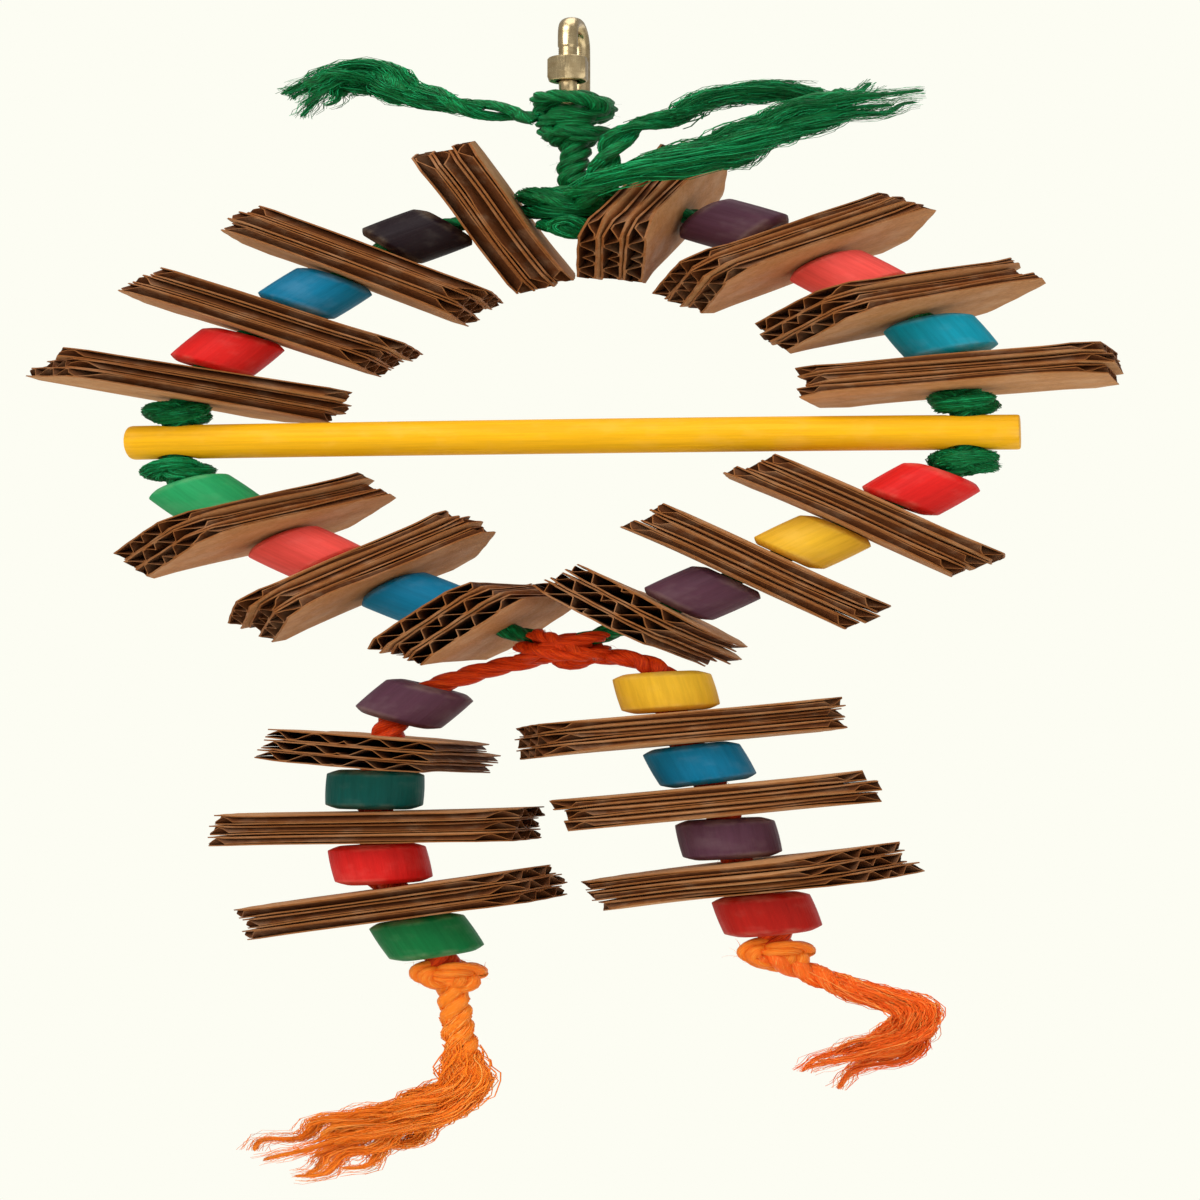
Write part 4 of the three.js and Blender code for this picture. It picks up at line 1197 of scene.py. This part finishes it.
class TOY_OT_perch(ToyStep, bpy.types.Operator):
    """Add the dowel perch with its drilled holes"""

    bl_idname = "shredtoy.perch"
    bl_label = "Perch"

    def execute(self, context):
        sizes = self.sizes
        rng = np.random.default_rng(SEEDS["perch"])
        low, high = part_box("perch")
        middle = (low + high) / 2
        half, radius = sizes.perch_long / 2, sizes.perch / 2
        ends = [(half, 0.2), (half, 0.9), (half - 0.12 * MM, 0.975), (half - 0.5 * MM, 1)]
        spans = [(x * half, 1) for x in np.linspace(0.97, -0.97, 40)]
        profile = np.array(ends + spans + [(-x, r) for x, r in reversed(ends)])
        sides = 48
        angle = round_angles(sides)
        bow = 1 + 0.004 * np.sin(profile[:, :1] * 70 + 3 * angle) + 0.003 * np.sin(2 * angle + 1)
        reach = profile[:, 1:] * radius * bow
        along = np.broadcast_to(profile[:, :1], reach.shape)
        points = np.stack([along, reach * np.cos(angle), reach * np.sin(angle)], -1)
        end_wear = [0.2, 0.8, 1, 0.8]
        wear = np.concatenate([end_wear, rng.uniform(0, 0.12, len(spans)), end_wear[::-1]])
        made = Surface()
        made.add(points, ring_faces(len(profile), sides), 0, wear=np.repeat(wear, sides))
        made.close_ends(len(profile), sides)
        material = dyed_wood("perch dye", self.colours.perch, (0.05, 1, 1))
        dowel = made.object("perch_look", [material], 40)
        dowel.location = middle
        self.drill(dowel)
        settle(dowel, "ring", "perch", slot="perch_dye")
        return {"FINISHED"}

    def drill(self, dowel):
        """Cut the two rope holes through the dowel."""
        cutters = []
        radius, depth = self.sizes.bore / 2, 2.4 * self.sizes.perch
        for hole in (LEFT_HOLE, RIGHT_HOLE):
            place = metres(hole)
            bpy.ops.mesh.primitive_cylinder_add(vertices=32, radius=radius, depth=depth, location=place)
            cutter = bpy.context.object
            cut = dowel.modifiers.new("hole", "BOOLEAN")
            cut.object = cutter
            cut.operation = "DIFFERENCE"
            cut.solver = "EXACT"
            cutters.append(cutter)
        bpy.context.view_layer.update()
        drilled = dowel.evaluated_get(bpy.context.evaluated_depsgraph_get())
        shaped = bpy.data.meshes.new_from_object(drilled)
        dowel.modifiers.clear()
        dowel.data = shaped
        for cutter in cutters:
            bpy.data.objects.remove(cutter)


class TOY_OT_beads(ToyStep, bpy.types.Operator):
    """Add the dyed wooden beads"""

    bl_idname = "shredtoy.beads"
    bl_label = "Beads"

    def execute(self, context):
        rng = np.random.default_rng(SEEDS["beads"])
        woods = {}
        for prefix, dyes in BEAD_DYES.items():
            for i, dye in enumerate(dyes):
                if dye not in woods:
                    woods[dye] = dyed_wood("bead " + dye, getattr(self.colours, dye), (1, 1, 0.06))
                node = f"{prefix}_bead_{i + 1}"
                settle(bead(node, self.sizes, woods[dye], rng), node, node, slot="bead_" + dye)
        return {"FINISHED"}


class TOY_OT_cards(ToyStep, bpy.types.Operator):
    """Add the stacks of corrugated cardboard"""

    bl_idname = "shredtoy.cards"
    bl_label = "Cardboard"

    def execute(self, context):
        rng = np.random.default_rng(SEEDS["cards"])
        sizes, colours = self.sizes, self.colours
        materials = [
            # The kraft liner shows its flutes as relief and as painted shade
            board("kraft liner", colours.kraft, 0.35, sizes.flute),
            # Cut edges, darker than the kraft, partly painted shade
            board("cut edge, partly painted shade", colours.cut, 0.0, sizes.flute),
            # Fluted paper, darkened partly as painted shade
            board("fluted paper, partly painted shade", colours.fluted_paper_and_shade, 0.0, sizes.flute),
        ]
        for prefix, turns in STACK_TURNS.items():
            for i, turn in enumerate(turns):
                node = f"{prefix}_stack_{i + 1}"
                place = FIRST_STACK_PLACE[prefix.split("_")[0]] + 2 * i
                fan = STACK_FAN.get(node, 0)
                piece = card_stack(node, turn, fan, place, OPEN_EDGES[prefix], sizes, materials, rng)
                settle(piece, node, node, slot="cardboard")
        return {"FINISHED"}


class TOY_OT_stage(ToyStep, bpy.types.Operator):
    """Add the camera, the lights and the plain backdrop"""

    bl_idname = "shredtoy.stage"
    bl_label = "Stage"

    def execute(self, context):
        self.add_camera(context.scene)
        self.add_lights()
        self.add_world(context.scene)
        self.add_floor()
        context.scene.view_settings.view_transform = "Standard"
        return {"FINISHED"}

    def add_camera(self, scene):
        """The photo shows the toy about 2.17 times as wide as it is. The toy keeps its true proportions,
        and this camera spreads a narrow field of view over the square picture. Half the width and half
        the height of the field are measured where the toy hangs."""
        data = bpy.data.cameras.new("camera")
        data.type = "PANO"
        data.panorama_type = "CENTRAL_CYLINDRICAL"
        distance, half_high, half_wide = 0.60, 0.2177, 0.10035
        data.central_cylindrical_radius = 1.0
        data.central_cylindrical_range_u_min = -half_wide / distance
        data.central_cylindrical_range_u_max = half_wide / distance
        data.central_cylindrical_range_v_min = -half_high / distance
        data.central_cylindrical_range_v_max = half_high / distance
        aim = Vector((0.0045, 0, -0.2150))
        azimuth, elevation = math.radians(8), math.radians(-5)
        level = math.cos(elevation)
        back = Vector((math.sin(azimuth) * level, -math.cos(azimuth) * level, math.sin(elevation)))
        camera = bpy.data.objects.new("camera", data)
        camera.location = aim + back * distance
        camera.rotation_euler = (-back).to_track_quat("-Z", "Y").to_euler()
        scene.collection.objects.link(camera)
        scene.camera = camera

    def add_lights(self):
        """Soft lights that face the middle of the toy: name, place, size in metres and power in watts."""
        lights = (
            ("key", (-0.35, -1.0, 0.75), 1.1, 18),
            ("fill", (0.95, -0.8, -0.1), 1.0, 3),
            ("top", (0.1, 0.1, 0.9), 0.9, 5),
            ("back", (0.3, 1.1, -0.2), 1.0, 2),
        )
        toy_middle = Vector((0, 0, -0.2))
        for name, place, size, power in lights:
            data = bpy.data.lights.new(name, "AREA")
            data.size = size
            data.energy = power
            light = bpy.data.objects.new(name, data)
            light.location = place
            light.rotation_euler = (light.location - toy_middle).to_track_quat("Z", "Y").to_euler()
            bpy.context.scene.collection.objects.link(light)

    def add_world(self, scene):
        """A faint warm glow all round, seen by the camera as the plain backdrop."""
        world = bpy.data.worlds.new("studio")
        world.use_nodes = True
        tree = world.node_tree
        glow = tree.nodes["Background"]
        glow.inputs["Color"].default_value = (1, 0.98, 0.94, 1)
        glow.inputs["Strength"].default_value = 0.4
        self.show_backdrop(tree, "ShaderNodeBackground", glow, tree.nodes["World Output"])
        scene.world = world

    def add_floor(self):
        """A matt floor well below the toy, seen by the camera as the plain backdrop."""
        material = bpy.data.materials.new("floor")
        material.use_nodes = True
        tree = material.node_tree
        shader = tree.nodes["Principled BSDF"]
        shader.inputs["Base Color"].default_value = rgba(self.colours.backdrop)
        shader.inputs["Roughness"].default_value = 0.9
        self.show_backdrop(tree, "ShaderNodeEmission", shader, tree.nodes["Material Output"])
        bpy.ops.mesh.primitive_plane_add(size=8, location=(0, 0, -0.5))
        floor = bpy.context.object
        floor.name = "floor"
        floor.data.materials.append(material)

    def show_backdrop(self, tree, kind, lit, output):
        """Shows the camera the backdrop's plain colour, and everything else the given shader."""
        seen = add(tree, kind, {"Color": rgba(self.colours.backdrop), "Strength": 1.0})
        path = tree.nodes.new("ShaderNodeLightPath").outputs["Is Camera Ray"]
        choice = add(tree, "ShaderNodeMixShader", {0: path, 1: lit.outputs[0], 2: seen.outputs[0]})
        tree.links.new(choice.outputs[0], output.inputs["Surface"])


class TOY_PT_panel(bpy.types.Panel):
    """Sizes, colours and steps of the toy"""

    bl_idname = "TOY_PT_panel"
    bl_label = "Shredding toy"
    bl_space_type = "VIEW_3D"
    bl_region_type = "UI"
    bl_category = "Toy"

    def draw(self, context):
        for group in (context.scene.toy_sizes, context.scene.toy_colours):
            box = self.layout.box()
            for name in group.__annotations__:
                box.prop(group, name)
        for step in STEPS:
            self.layout.operator(step.bl_idname)


STEPS = (TOY_OT_link, TOY_OT_ropes, TOY_OT_tails, TOY_OT_perch, TOY_OT_beads, TOY_OT_cards, TOY_OT_stage)
CLASSES = (ToySizes, ToyColours, *STEPS, TOY_PT_panel)


def register():
    """Adds the toy's settings, operators and panel."""
    for made in CLASSES:
        bpy.utils.register_class(made)
    bpy.types.Scene.toy_sizes = PointerProperty(type=ToySizes)
    bpy.types.Scene.toy_colours = PointerProperty(type=ToyColours)


def unregister():
    """Takes the toy's panel, operators and settings away again."""
    del bpy.types.Scene.toy_colours
    del bpy.types.Scene.toy_sizes
    for made in reversed(CLASSES):
        bpy.utils.unregister_class(made)


def main():
    """Builds the toy step by step."""
    register()
    for step in STEPS:
        group, name = step.bl_idname.split(".")
        getattr(getattr(bpy.ops, group), name)()


if __name__ == "__main__":
    main()
